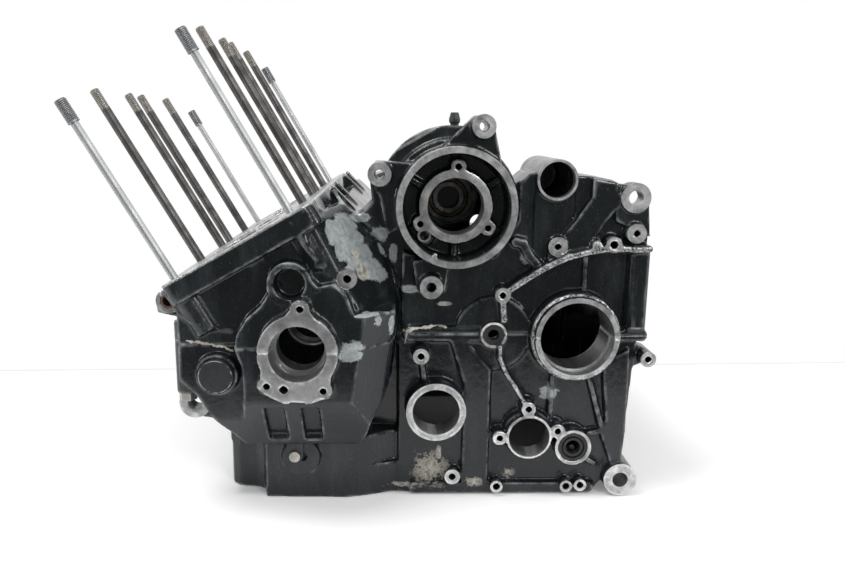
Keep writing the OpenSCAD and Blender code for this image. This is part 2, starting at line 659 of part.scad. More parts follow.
module lower_rooms() {
    for (y = bore_y) {
        y0 = max(y - bore_pitch / 2 + web_t / 2, end_web - wall_y);
        y1 = min(y + bore_pitch / 2 - web_t / 2, wall_y - end_web);
        slab(max(y0, -118), y1) polygon(room_lower);
        if (y0 < -118) slab(y0, -117) polygon(room_lower_end);
    }
    slab(-chain_gap / 2 + web_t / 2, chain_gap / 2 - web_t / 2) polygon(room_lower);
    slab(stud_y[1] - 19, stud_y[4] + 33) polygon([[-54, main_bolt_seat], [-60, -sump_floor],
        [76, -sump_floor], [76, main_bolt_seat]]);
    slab(-134, -115) polygon([[-30, -90], [-30, -sump_floor], [50, -sump_floor],
        [50, -90]]);
    slab(-left_y + wall, right_y - 10) polygon(box_room_lower);
    slab(right_y - 11, right_y + over) polygon([[74 + land, over], [74 + land, -116],
        [222, -116], [240, -100], [rear_x - 22, -80], [rear_x - 17, -16],
        [rear_x - 15, over]]);
    slab(-80, 100) polygon([[70, -30], [70, -sump_floor], [90, -sump_floor],
        [90, -30]]);
    translate([0, 0, -sump_z - over]) linear_extrude(12 + over)
        polygon(sump_edge(land));
}

module split_holes() {
    for (b = end_bolt_at) {
        bar_z(b, end_bolt_seat - over, main_bolt_top + 2, main_bolt_d / 2 + fit);
        bar_z(b, -sump_z, end_bolt_seat, 9.2);
    }
    for (b = main_bolt_at) bar_z(b, main_bolt_seat - 6, main_bolt_top + 2,
        main_bolt_d / 2 + fit);
    for (b = gear_bolt_at) bar_z(b, gear_bolt_seat - 14, 24, gear_bolt_d / 2 + fit);
    for (b = front_bolt_at) bar_z(b, front_bolt_seat - over, front_bolt_top + 2,
        front_bolt_d / 2 + fit);
    for (b = dowel_at) bar_z(b, -dowel_h - fit, dowel_h + fit, dowel_d / 2 + fit);
}
module upper_holes() {
    for (y = stud_y, u = [front_u, rear_u]) deck_frame()
        translate([u, y, deck_height - stud_depth - 1])
            cylinder(d = (abs(y) > bore_pitch * 1.5 ? end_stud_d : inner_stud_d)
                + 2 * fit, h = stud_depth + 2);
    bar_y(recess, -end_y - over, -end_y + 12, 11.4);
    bar_y(side_boss, -end_y, -158, 3);
    bar_y(tube_c, -tube_y - over, -80, tube_d / 2);
    bar_y(upper_mount, -mount_y - over, -mount_y + mount_len + over,
        upper_mount_bore / 2);
    bar_y(upper_mount, -mount_y + mount_len, -mount_y + mount_len + 30,
        upper_mount_bore / 2 + 2.2);
    bar_y(upper_mount, right_y - mount_len - over, right_y + over,
        upper_mount_bore / 2);
    bar_y(boss_a, -tube_y - over, -left_y + 3, tap_d / 2);
    bar_y(boss_c, -tube_y - 4, -left_y + 3, tap_d / 2);
    bar_y(eye_b, -rail_y - over, -left_y + 3, 3.2);
    bar_y(ring_boss, -rail_y - over, -left_y + 3, tap_d / 2);
    for (s = [-1, 1]) bar_y(front_mount, s * front_mount_y - 12,
        s * front_mount_y + 12, bush_od / 2 + fit);
    bar_z(nipple_at, gen_z + gen_flange_r - 8, gen_z + gen_flange_r + over,
        nipple_d / 2 + fit);
}
module lower_holes() {
    for (x = [[-28, -13], [0, 14]]) translate([x[0], 0, 0]) rotate([90, 0, 90])
        linear_extrude(x[1] - x[0]) polygon([[-end_y - over, -46],
            [-end_y + 8, -47], [-158, -79], [-163, -84], [-end_y - over, -60]]);
    for (s = [-1, 1]) bar_y(front_lug, s * lug_y - 10, s * lug_y + 10, lug_bore / 2);
    bar_y(cap_c, -cap_y + 2, -wall_y + 4, cap_d / 2 + fit);
    bar_y(plug_c, -plug_y - 2, -plug_y + 14, plug_r + fit);
    bar_y(keeper_at, -plug_y, -plug_y + 20, 2.5 + fit);
    for (p = end_plug_at) bar_y(p, wall_y - 13, wall_y + over, 7 + fit);
}
nipple_at = [gen_x + 1.5, -100];
nipple_d = 7;
end_plug_at = [[-60, -20], [-64, -52], [64, -62]];

// One module for each separate piece
module upper_case() {
    color("#26282a") difference() {
        upper_body();
        upper_rooms_only();
        crank_bores();
        generator_rooms();
        gearbox_shared_bores();
        split_holes();
        upper_holes();
    }
}
// The rooms without the inner bosses and walls that stand in them
module upper_rooms_only() {
    difference() {
        upper_rooms();
        gearbox_inside();
    }
}
module lower_case() {
    color("#26282a") difference() {
        lower_body();
        difference() {
            lower_rooms();
            gearbox_inside();
            ring_y(plug_c, -plug_y, -plug_y + 18, plug_r + 5, 1);
        }
        crank_bores();
        gearbox_shared_bores();
        lower_bores();
        split_holes();
        lower_holes();
    }
}
module end_studs() {
    color("#c3c6c8") for (y = [stud_y[0], stud_y[5]], u = [front_u, rear_u])
        deck_frame() translate([u, y, deck_height]) {
            translate([0, 0, -stud_depth]) cylinder(d = end_stud_d, h = stud_depth - 3);
            translate([0, 0, -3]) cylinder(d = end_shank_d, h = end_stud_h - stud_thread + 3);
            translate([0, 0, end_stud_h - stud_thread])
                cylinder(d = end_stud_d, h = stud_thread - 1);
            translate([0, 0, end_stud_h - 1])
                cylinder(d1 = end_stud_d, d2 = end_stud_d - 2, h = 1);
        }
}
module inner_studs() {
    color("#55585a") for (i = [1 : 4], u = [front_u, rear_u])
        deck_frame() translate([u, stud_y[i], deck_height - stud_depth]) {
            cylinder(d = inner_stud_d, h = stud_depth + inner_stud_h - stud_thread);
            translate([0, 0, stud_depth + inner_stud_h - stud_thread])
                cylinder(d = inner_stud_d - 0.3, h = stud_thread - 1);
            translate([0, 0, stud_depth + inner_stud_h - 1])
                cylinder(d1 = inner_stud_d - 0.3, d2 = inner_stud_d - 2, h = 1);
        }
}
module main_shells() {
    for (y = stud_y) ring_y([0, 0], y - main_len / 2, y + main_len / 2,
        main_bore / 2 - fit, main_bore / 2 - shell_t);
}
module upper_main_shells() {
    color("#b9bcc0") above_split() main_shells();
}
module lower_main_shells() {
    color("#b0b3b7") below_split() main_shells();
}
module case_dowels() {
    color("#c9cbcc") for (b = dowel_at) difference() {
        bar_z(b, -dowel_h, dowel_h, dowel_d / 2);
        bar_z(b, -dowel_h - over, dowel_h + over, dowel_d / 2 - 1.6);
    }
}
module hex_bolt(p, seat, top, d, head_w, head_h) {
    bar_z(p, seat - 1, top, d / 2);
    translate([p[0], p[1], seat - head_h]) cylinder(d = head_w, h = head_h, $fn = 6);
}
module main_bolts() {
    color("#8b8578") for (b = main_bolt_at)
        hex_bolt(b, main_bolt_seat - 2, main_bolt_top, main_bolt_d, 14.5, 7);
}
module end_main_bolts() {
    color("#8b8578") for (b = end_bolt_at)
        hex_bolt(b, end_bolt_seat - 2, main_bolt_top, main_bolt_d, 14.5, 7);
}
module washer(p, seat) {
    difference() {
        bar_z(p, seat - 2, seat, 8.5);
        bar_z(p, seat - 2 - over, seat + over, main_bolt_d / 2 + 0.2);
    }
}
module main_washers() {
    color("#9a9a96") {
        for (b = main_bolt_at) washer(b, main_bolt_seat);
        for (b = end_bolt_at) washer(b, end_bolt_seat);
    }
}
module gearbox_bolts() {
    color("#8b8578") for (b = gear_bolt_at)
        hex_bolt(b, gear_bolt_seat, 22, gear_bolt_d, 11.5, 6);
}
module front_bolts() {
    color("#8b8578") for (b = front_bolt_at)
        hex_bolt(b, front_bolt_seat, front_bolt_top, front_bolt_d, 13.8, 6);
}
module shaft_bearing_outer() {
    r = gen_bearing_od / 2;
    color("#a9acaf") difference() {
        ring_y(gen_c, bearing_y0, bearing_y1, r, r - 3.4);
        bearing_groove();
    }
}
module shaft_bearing_inner() {
    r = gen_bearing_id / 2;
    color("#9da0a4") difference() {
        ring_y(gen_c, bearing_y0, bearing_y1, r + 3.4, r);
        bearing_groove();
    }
}
ball_r = (gen_bearing_od - gen_bearing_id) / 8 + 0.35;
ball_track = (gen_bearing_od + gen_bearing_id) / 4;
module bearing_groove() {
    translate([gen_x, (bearing_y0 + bearing_y1) / 2, gen_z]) rotate([90, 0, 0])
        rotate_extrude() translate([ball_track, 0]) circle(r = ball_r + fit);
}
module shaft_bearing_balls() {
    color("#d8dadc") for (a = [0 : 40 : 320])
        translate([gen_x, (bearing_y0 + bearing_y1) / 2, gen_z]) rotate([0, a, 0])
            translate([ball_track, 0, 0]) sphere(r = ball_r, $fn = 24);
}
module shaft_bearing_cage() {
    color("#8d7a4a") difference() {
        ring_y(gen_c, (bearing_y0 + bearing_y1) / 2 - 4, (bearing_y0 + bearing_y1) / 2 + 4,
            ball_track + 1.2, ball_track - 1.2);
        for (a = [0 : 40 : 320])
            translate([gen_x, (bearing_y0 + bearing_y1) / 2, gen_z]) rotate([0, a, 0])
                translate([ball_track - 4, 0, 0]) rotate([0, 90, 0])
                    cylinder(r = ball_r + 0.2, h = 8);
    }
}
module drum_dowel() {
    color("#d0d2d2")
        ring_y(hub_dowel_at, -gen_floor_y - 13, -gen_floor_y + 2, hub_dowel_d / 2,
            hub_dowel_d / 2 - 1.6);
}
module vent_nipple() {
    z0 = gen_z + gen_flange_r - 7;
    color("#2c2e30") translate([nipple_at[0], nipple_at[1], z0]) rotate_extrude()
        polygon([[1.8, 0], [nipple_d / 2, 0], [nipple_d / 2, 8], [4.6, 9.5], [4.6, 12],
            [3.2, 17], [1.8, 17]]);
}
module front_mount_sleeves() {
    color("#7a4f37") for (s = [-1, 1])
        ring_y(front_mount, s * front_mount_y - 11, s * front_mount_y + 11,
            bush_od / 2, bush_id / 2);
}
module crank_cap_plug() {
    color("#303134") difference() {
        bar_y(cap_c, -cap_y, -wall_y + 4, cap_d / 2);
        bar_y(cap_c, -cap_y + 6, -wall_y + 5, cap_d / 2 - 3);
    }
}
module gallery_plug() {
    color("#2d2f31") difference() {
        bar_y(plug_c, -plug_y, -plug_y + 13, plug_r);
        translate([plug_c[0] + 1, -plug_y + 5, plug_c[1] + 0.5]) rotate([90, 0, 0])
            cylinder(d = 9, h = 6, $fn = 6);
        bar_y(keeper_at, -plug_y - over, -plug_y + 14, 3);
        ring_y(plug_c, -plug_y + 7, -plug_y + 9, plug_r + 1, plug_r - 1.5);
    }
}
module plug_keeper() {
    color("#2f3133") slab(-plug_y - 3, -plug_y) difference() {
        union() {
            translate(keeper_at) circle(r = 6.5);
            translate(keeper_at + [-6.5, 0]) square([13, 10.5]);
        }
        translate(keeper_at) circle(r = 2.7);
    }
}
module keeper_bolt() {
    color("#c2c4c4") {
        bar_y(keeper_at, -plug_y - 4, -plug_y + 19, 2.5);
        bar_y(keeper_at, -plug_y - 6, -plug_y - 3, 4.4);
    }
}
module shift_shaft_seal() {
    color("#1d1e1f") difference() {
        ring_y(shift_c, -drum_y + 1, -drum_y + 8, seal_od / 2, shift_shaft_d / 2);
        ring_y(shift_c, -drum_y, -drum_y + 3, seal_od / 2 - 2.4, shift_shaft_d / 2 + 2);
    }
}
module clutch_rod_seal() {
    color("#1d1e1f") ring_y(clutch_c, -clutch_ring_y + 1, -clutch_ring_y + 8,
        rod_seal_d / 2, rod_d / 2);
}
module output_half_ring() {
    color("#b4b6b8") below_split()
        ring_y(output_c, -output_y + 12 + fit, -output_y + 14 - fit, half_ring_r,
            output_bore / 2 - 1.6);
}
module end_gallery_plugs() {
    color("#94928a") for (p = end_plug_at) difference() {
        bar_y(p, wall_y - 12, wall_y - 1, 7);
        translate([p[0], wall_y, p[1]]) rotate([90, 0, 0])
            cylinder(d = 7, h = 6, $fn = 6);
    }
}

upper_case();
lower_case();
end_studs();
inner_studs();
upper_main_shells();
lower_main_shells();
case_dowels();
main_bolts();
end_main_bolts();
main_washers();
gearbox_bolts();
front_bolts();
shaft_bearing_outer();
shaft_bearing_inner();
shaft_bearing_balls();
shaft_bearing_cage();
drum_dowel();
vent_nipple();
front_mount_sleeves();
crank_cap_plug();
gallery_plug();
plug_keeper();
keeper_bolt();
shift_shaft_seal();
clutch_rod_seal();
output_half_ring();
end_gallery_plugs();
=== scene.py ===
# %% [markdown]
# # A motorcycle crankcase, dressed for the photograph
# The solids come from the CAD model, in metres, and stay where they are. This
# lesson turns the two plain castings into painted, worn ones, cuts real threads on
# the studs, and gives each small piece its own finish. The first cell loads the
# solids.

# %% Load the solids
import bpy
import bmesh
import math
import random
import numpy as np
from mathutils import Matrix, Vector


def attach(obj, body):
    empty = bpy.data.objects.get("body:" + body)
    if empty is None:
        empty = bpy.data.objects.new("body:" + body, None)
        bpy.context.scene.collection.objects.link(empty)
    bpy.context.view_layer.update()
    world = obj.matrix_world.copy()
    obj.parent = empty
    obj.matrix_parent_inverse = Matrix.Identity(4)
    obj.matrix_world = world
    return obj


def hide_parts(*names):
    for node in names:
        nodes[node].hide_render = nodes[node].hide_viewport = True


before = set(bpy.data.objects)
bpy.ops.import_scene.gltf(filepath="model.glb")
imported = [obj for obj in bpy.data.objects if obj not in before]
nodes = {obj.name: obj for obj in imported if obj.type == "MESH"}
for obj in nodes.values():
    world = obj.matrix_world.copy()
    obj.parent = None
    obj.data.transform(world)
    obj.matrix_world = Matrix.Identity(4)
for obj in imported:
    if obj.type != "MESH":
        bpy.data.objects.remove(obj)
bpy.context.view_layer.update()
scene = bpy.context.scene
print("solids:", len(nodes))

# %% [markdown]
# ## The camera
# The photo was taken from the engine's left, a little above it. The place and the aim
# come from a least-squares fit to twelve stud tops, the deck edge and the crank
# flange, with a cylinder spacing taken as 80 mm. The focal length and the roll were
# chosen. Left free, the fit prefers a longer lens of 956 pixels.

# %% Camera
FOCAL_PX, PHOTO_WIDTH_PX = 760, 845
SENSOR_MM = 36

def make_camera():
    yaw, pitch, roll = (math.radians(a) for a in (2.324, 11.341, -0.8))
    place = Vector((0.06835, -0.73417, 0.16092))
    ahead = Vector((math.sin(yaw) * math.cos(pitch), math.cos(yaw) * math.cos(pitch),
                    -math.sin(pitch)))
    right = Vector((math.cos(yaw), -math.sin(yaw), 0))
    down = ahead.cross(right)
    right, down = (math.cos(roll) * right + math.sin(roll) * down,
                   -math.sin(roll) * right + math.cos(roll) * down)
    data = bpy.data.cameras.new("camera")
    data.sensor_width = SENSOR_MM
    data.lens = FOCAL_PX / PHOTO_WIDTH_PX * SENSOR_MM
    cam = bpy.data.objects.new("camera", data)
    turn = Matrix((right, -down, -ahead)).transposed()
    cam.matrix_world = Matrix.Translation(place) @ turn.to_4x4()
    scene.collection.objects.link(cam)
    scene.camera = cam
    return cam

camera = make_camera()
print("lens", round(camera.data.lens, 2), "mm")

# %% [markdown]
# ## Helpers for shader nodes
# A material is a small graph. These helpers add a node, set its plain values and
# join its inputs in one line, so each finish below reads as a recipe.

# %% Shader helpers
def add(tree, kind, inputs=None, **settings):
    node = tree.nodes.new(kind)
    for key, value in settings.items():
        setattr(node, key, value)
    for key, value in (inputs or {}).items():
        socket = node.inputs[key]
        if isinstance(value, bpy.types.NodeSocket):
            tree.links.new(value, socket)
        else:
            socket.default_value = value
    return node

def maths(tree, operation, a, b=0.0, c=0.0, clamp=False):
    node = add(tree, "ShaderNodeMath", {0: a, 1: b, 2: c}, operation=operation)
    node.use_clamp = clamp
    return node.outputs[0]

def step_between(tree, value, low, high):
    node = add(tree, "ShaderNodeMapRange", {"Value": value, "From Min": low,
               "From Max": high, "To Min": 0.0, "To Max": 1.0}, clamp=True)
    return node.outputs[0]

def blend_colour(tree, mask, a, b):
    node = add(tree, "ShaderNodeMix", data_type="RGBA", clamp_factor=True)
    for socket, value in ((node.inputs[0], mask), (node.inputs[6], a), (node.inputs[7], b)):
        if isinstance(value, bpy.types.NodeSocket):
            tree.links.new(value, socket)
        else:
            socket.default_value = value
    return node.outputs[2]

def blend_value(tree, mask, a, b):
    node = add(tree, "ShaderNodeMix", data_type="FLOAT", clamp_factor=True)
    for socket, value in ((node.inputs[0], mask), (node.inputs[2], a), (node.inputs[3], b)):
        if isinstance(value, bpy.types.NodeSocket):
            tree.links.new(value, socket)
        else:
            socket.default_value = value
    return node.outputs[0]

def object_point(tree):
    return add(tree, "ShaderNodeTexCoord").outputs["Object"]

def noise(tree, point, scale, detail=4.0, rough=0.55):
    return add(tree, "ShaderNodeTexNoise", {"Vector": point, "Scale": scale,
               "Detail": detail, "Roughness": rough}).outputs["Fac"]

def new_group(name, inputs, outputs):
    tree = bpy.data.node_groups.new(name, "ShaderNodeTree")
    for label, kind in inputs:
        tree.interface.new_socket(label, in_out="INPUT", socket_type=kind)
    for label, kind in outputs:
        tree.interface.new_socket(label, in_out="OUTPUT", socket_type=kind)
    return tree, tree.nodes.new("NodeGroupInput"), tree.nodes.new("NodeGroupOutput")

VALUE, VECTOR = "NodeSocketFloat", "NodeSocketVector"

# %% [markdown]
# ## Where metal is bare
# After painting, the maker machined the ring faces and bores, so there the metal is
# bright. The edge of such a face is a sharp circle, sharper than any mesh would give
# it, so a mask works it out from the place of each point: inside a circle seen along
# the crank, and within a little of the face's plane.

# %% Machined spot mask
RIM_BLUR = 0.0002
FACE_DEPTH, FACE_CORE = 0.0008, 0.0006

def distance_from_axis(tree, xyz, x, z):
    dx = maths(tree, "SUBTRACT", xyz.outputs[0], x)
    dz = maths(tree, "SUBTRACT", xyz.outputs[2], z)
    return maths(tree, "SQRT", maths(tree, "ADD", maths(tree, "MULTIPLY", dx, dx),
                                     maths(tree, "MULTIPLY", dz, dz)))

def build_machined_spot():
    """A spot's mask, joined to the mask and the distance that came before it."""
    tree, given, out = new_group("machined_spot",
        [("Point", VECTOR), ("Wobble", VALUE), ("Centre X", VALUE), ("Centre Z", VALUE),
         ("Radius", VALUE), ("Plane Y", VALUE), ("Mask", VALUE), ("Distance", VALUE)],
        [("Mask", VALUE), ("Distance", VALUE)])
    xyz = add(tree, "ShaderNodeSeparateXYZ", {0: given.outputs["Point"]})
    far = distance_from_axis(tree, xyz, given.outputs["Centre X"],
                             given.outputs["Centre Z"])
    edge = maths(tree, "SUBTRACT", maths(tree, "ADD", far, given.outputs["Wobble"]),
                 given.outputs["Radius"])
    inside = step_between(tree, edge, RIM_BLUR, -RIM_BLUR)
    off = maths(tree, "ABSOLUTE", maths(tree, "SUBTRACT", xyz.outputs[1],
                                        given.outputs["Plane Y"]))
    here = maths(tree, "MULTIPLY", inside, step_between(tree, off, FACE_DEPTH, FACE_CORE))
    tree.links.new(maths(tree, "MAXIMUM", given.outputs["Mask"], here),
                   out.inputs["Mask"])
    tree.links.new(blend_value(tree, here, given.outputs["Distance"], far),
                   out.inputs["Distance"])
    return tree

machined_spot = build_machined_spot()
print("mask group:", machined_spot.name)

# %% [markdown]
# ## Residue, chips and scuffs
# Old gasket, sealant and worn-through paint lie in patches with ragged edges. One
# group makes such a patch: a stretched ball round a point whose edge a noise frays.

# %% Ragged patch mask
FEATHER = 0.15

def build_ragged_patch():
    tree, given, out = new_group("ragged_patch",
        [("Point", VECTOR), ("Noise", VALUE), ("Centre", VECTOR), ("Stretch", VECTOR),
         ("Fray", VALUE), ("Cover", VALUE), ("Mask", VALUE)], [("Mask", VALUE)])
    away = add(tree, "ShaderNodeVectorMath", {0: given.outputs["Point"],
               1: given.outputs["Centre"]}, operation="SUBTRACT").outputs[0]
    scaled = add(tree, "ShaderNodeVectorMath", {0: away, 1: given.outputs["Stretch"]},
                 operation="DIVIDE").outputs[0]
    far = add(tree, "ShaderNodeVectorMath", {0: scaled}, operation="LENGTH").outputs["Value"]
    broad = maths(tree, "SUBTRACT", given.outputs["Noise"], 0.5)
    frayed = maths(tree, "ADD", far, maths(tree, "MULTIPLY", broad, given.outputs["Fray"]))
    here = step_between(tree, frayed, given.outputs["Cover"],
                        maths(tree, "SUBTRACT", given.outputs["Cover"], FEATHER))
    tree.links.new(maths(tree, "MAXIMUM", given.outputs["Mask"], here),
                   out.inputs["Mask"])
    return tree

ragged_patch = build_ragged_patch()

# %% [markdown]
# ## Worn edges with a painted highlight, and cast skin
# Handling rubs the paint thin on every outer edge, and the same mask paints a highlight
# along those edges. Cycles' pointiness says how much a point sticks out. A fine noise
# makes the grain of the sand mould, as bump height.

# %% Edge wear with painted highlight, and cast grain groups
EDGE_STARTS, EDGE_FULL = 0.508, 0.540

def build_worn_and_highlighted_edge():
    tree, given, out = new_group("worn_and_highlighted_edge",
        [("Point", VECTOR), ("Amount", VALUE), ("Grain", VALUE)], [("Mask", VALUE)])
    # Pointiness marks the outer edges, where the paint is worn and a highlight is painted.
    sharp = add(tree, "ShaderNodeNewGeometry").outputs["Pointiness"]
    raised = step_between(tree, sharp, EDGE_STARTS, EDGE_FULL)
    ragged = step_between(tree, noise(tree, given.outputs["Point"],
                          given.outputs["Grain"], 5.0, 0.65), 0.40, 0.66)
    both = maths(tree, "MULTIPLY", raised, ragged)
    tree.links.new(maths(tree, "MULTIPLY", both, given.outputs["Amount"], clamp=True),
                   out.inputs["Mask"])
    return tree

def build_cast_grain():
    tree, given, out = new_group("cast_grain",
        [("Point", VECTOR), ("Fine", VALUE), ("Coarse", VALUE)], [("Height", VALUE)])
    fine = noise(tree, given.outputs["Point"], given.outputs["Fine"], 3.0, 0.6)
    coarse = noise(tree, given.outputs["Point"], given.outputs["Coarse"], 2.0, 0.5)
    tree.links.new(maths(tree, "ADD", maths(tree, "MULTIPLY", fine, 0.35), coarse),
                   out.inputs["Height"])
    return tree

worn_and_highlighted_edge = build_worn_and_highlighted_edge()
cast_grain = build_cast_grain()

# %% [markdown]
# ## The machined places
# Each line gives a ring or boss: its centre behind and above the crank, its radius,
# and the plane of its face, all in millimetres. The same list serves both castings,
# because a shared face, such as the crank flange, is half on each.

# %% Table of machined faces
DECK = 0.090
TILT = math.radians(30)
DECK_NORMAL = (-math.sin(TILT), 0.0, math.cos(TILT))
FACES = [
    (0, 0, 38.5, -203), (117, 103, 46.2, -165), (117, 103, 35, -150),
    (135.6, 163.9, 9.2, -165), (58.4, 127.9, 9.2, -165), (98.4, 42.1, 9.2, -165),
    (195.3, 124.3, 16.2, -150), (257.4, 111.1, 12, -150), (198, 72.3, 8, -150),
    (258.8, 83.6, 8, -153), (241, 74.8, 6.6, -155), (155.2, 34, 6.4, -155),
    (35, 52, 7.7, -183), (150, 0, 11, -148), (215, 0, 33.8, -160),
    (104.2, -61.5, 24.4, -158), (91.5, -15, 6.7, -158), (180.8, -84.4, 31, -155),
    (217.4, -93.2, 15.2, -155), (259.8, -124.1, 14.2, -150), (276.2, -19.5, 6.7, -150),
    (119, -121, 6.8, -150), (156, -130, 5.5, -150), (214.4, -130, 5.5, -150),
    (226.3, -129, 5.5, -150), (-98.6, 33, 9.4, -175), (-86.5, -53, 12.4, -159),
    (0, 0, 50, 203), (257.4, 111.1, 12, 150), (-98.6, 33, 9.4, 175),
]
BORES = [
    (0, 0, 21, -203, -183), (117, 103, 22, -150, -125), (117, 103, 41.2, -165, -161),
    (195.3, 124.3, 13.9, -150, -143), (257.4, 111.1, 5.8, -150, -133),
    (215, 0, 29.5, -160, -110), (104.2, -61.5, 19, -158, -133),
    (180.8, -84.4, 16.75, -155, -133), (259.8, -124.1, 6.45, -150, -97),
    (0, 0, 20, -184, 184), (0, 0, 34, 184, 204),
]
print("machined faces:", len(FACES), "bores:", len(BORES))

# %% [markdown]
# ## Paint on aluminium
# The casting's finish is built in layers, as the real one is: bare metal, black
# paint, worn edges that also carry a painted highlight, then dirt. Masks choose
# between them. The upper half has worn pale on the shoulder behind the deck, and the
# lower one is chipped and stained round its bottom flange. The noises are made once
# and handed to each mask, because every noise costs render time.

# %% Mask chains
def placed(tree, group, inputs):
    node = tree.nodes.new("ShaderNodeGroup")
    node.node_tree = group
    for key, value in inputs.items():
        socket = node.inputs[key]
        if isinstance(value, bpy.types.NodeSocket):
            tree.links.new(value, socket)
        else:
            socket.default_value = value
    return node

def patch_mask(tree, point, noises, patches):
    mask = 0.0
    for centre, stretch, fray, grain, cover in patches:
        mask = placed(tree, ragged_patch, {"Point": point, "Noise": noises[grain],
                      "Centre": centre, "Stretch": stretch, "Fray": fray,
                      "Cover": cover, "Mask": mask}).outputs[0]
    return mask

def spot_masks(tree, point, wobble, spots):
    mask = distance = 0.0
    for x, z, r, y in spots:
        node = placed(tree, machined_spot, {"Point": point, "Wobble": wobble,
                      "Centre X": x / 1000, "Centre Z": z / 1000, "Radius": r / 1000,
                      "Plane Y": y / 1000, "Mask": mask, "Distance": distance})
        mask, distance = node.outputs
    return mask, distance

def bore_mask(tree, xyz, x, z, r, y0, y1):
    far = distance_from_axis(tree, xyz, x / 1000, z / 1000)
    off = maths(tree, "ABSOLUTE", maths(tree, "SUBTRACT", far, r / 1000))
    on_wall = step_between(tree, off, 0.0011, 0.0007)
    along = maths(tree, "ABSOLUTE", maths(tree, "SUBTRACT", xyz.outputs[1],
                                          (y0 + y1) / 2000))
    within = step_between(tree, along, (y1 - y0) / 2000 + 0.0006, (y1 - y0) / 2000)
    return maths(tree, "MULTIPLY", on_wall, within)

def near_plane(tree, distance, plane, depth):
    off = maths(tree, "ABSOLUTE", maths(tree, "SUBTRACT", distance, plane))
    return step_between(tree, off, depth, depth * 0.7)

# %% [markdown]
# ## The casting's recipe
# One function lays the layers over each other for both halves. Bare metal wins over
# paint, and dirt over both. The tables below it say where the paint is worn and where
# old sealant sticks, each patch chosen from the photo.

# %% Casting material
DUST, OXIDE = (0.16, 0.165, 0.16, 1), (0.22, 0.215, 0.20, 1)
METAL_DARK, METAL_LIGHT = (0.25, 0.252, 0.252, 1), (0.60, 0.605, 0.605, 1)
METAL_EDGE_HIGHLIGHT, PAINT_WEAR_AND_HIGHLIGHT = (0.90, 0.90, 0.90, 1), (0.34, 0.365, 0.365, 1)
SCUFF_DARK, SCUFF_LIGHT = (0.17, 0.195, 0.20, 1), (0.50, 0.53, 0.53, 1)
STAIN_DARK, STAIN_LIGHT = (0.11, 0.10, 0.085, 1), (0.48, 0.46, 0.41, 1)
HAZE_GAIN = 3.4

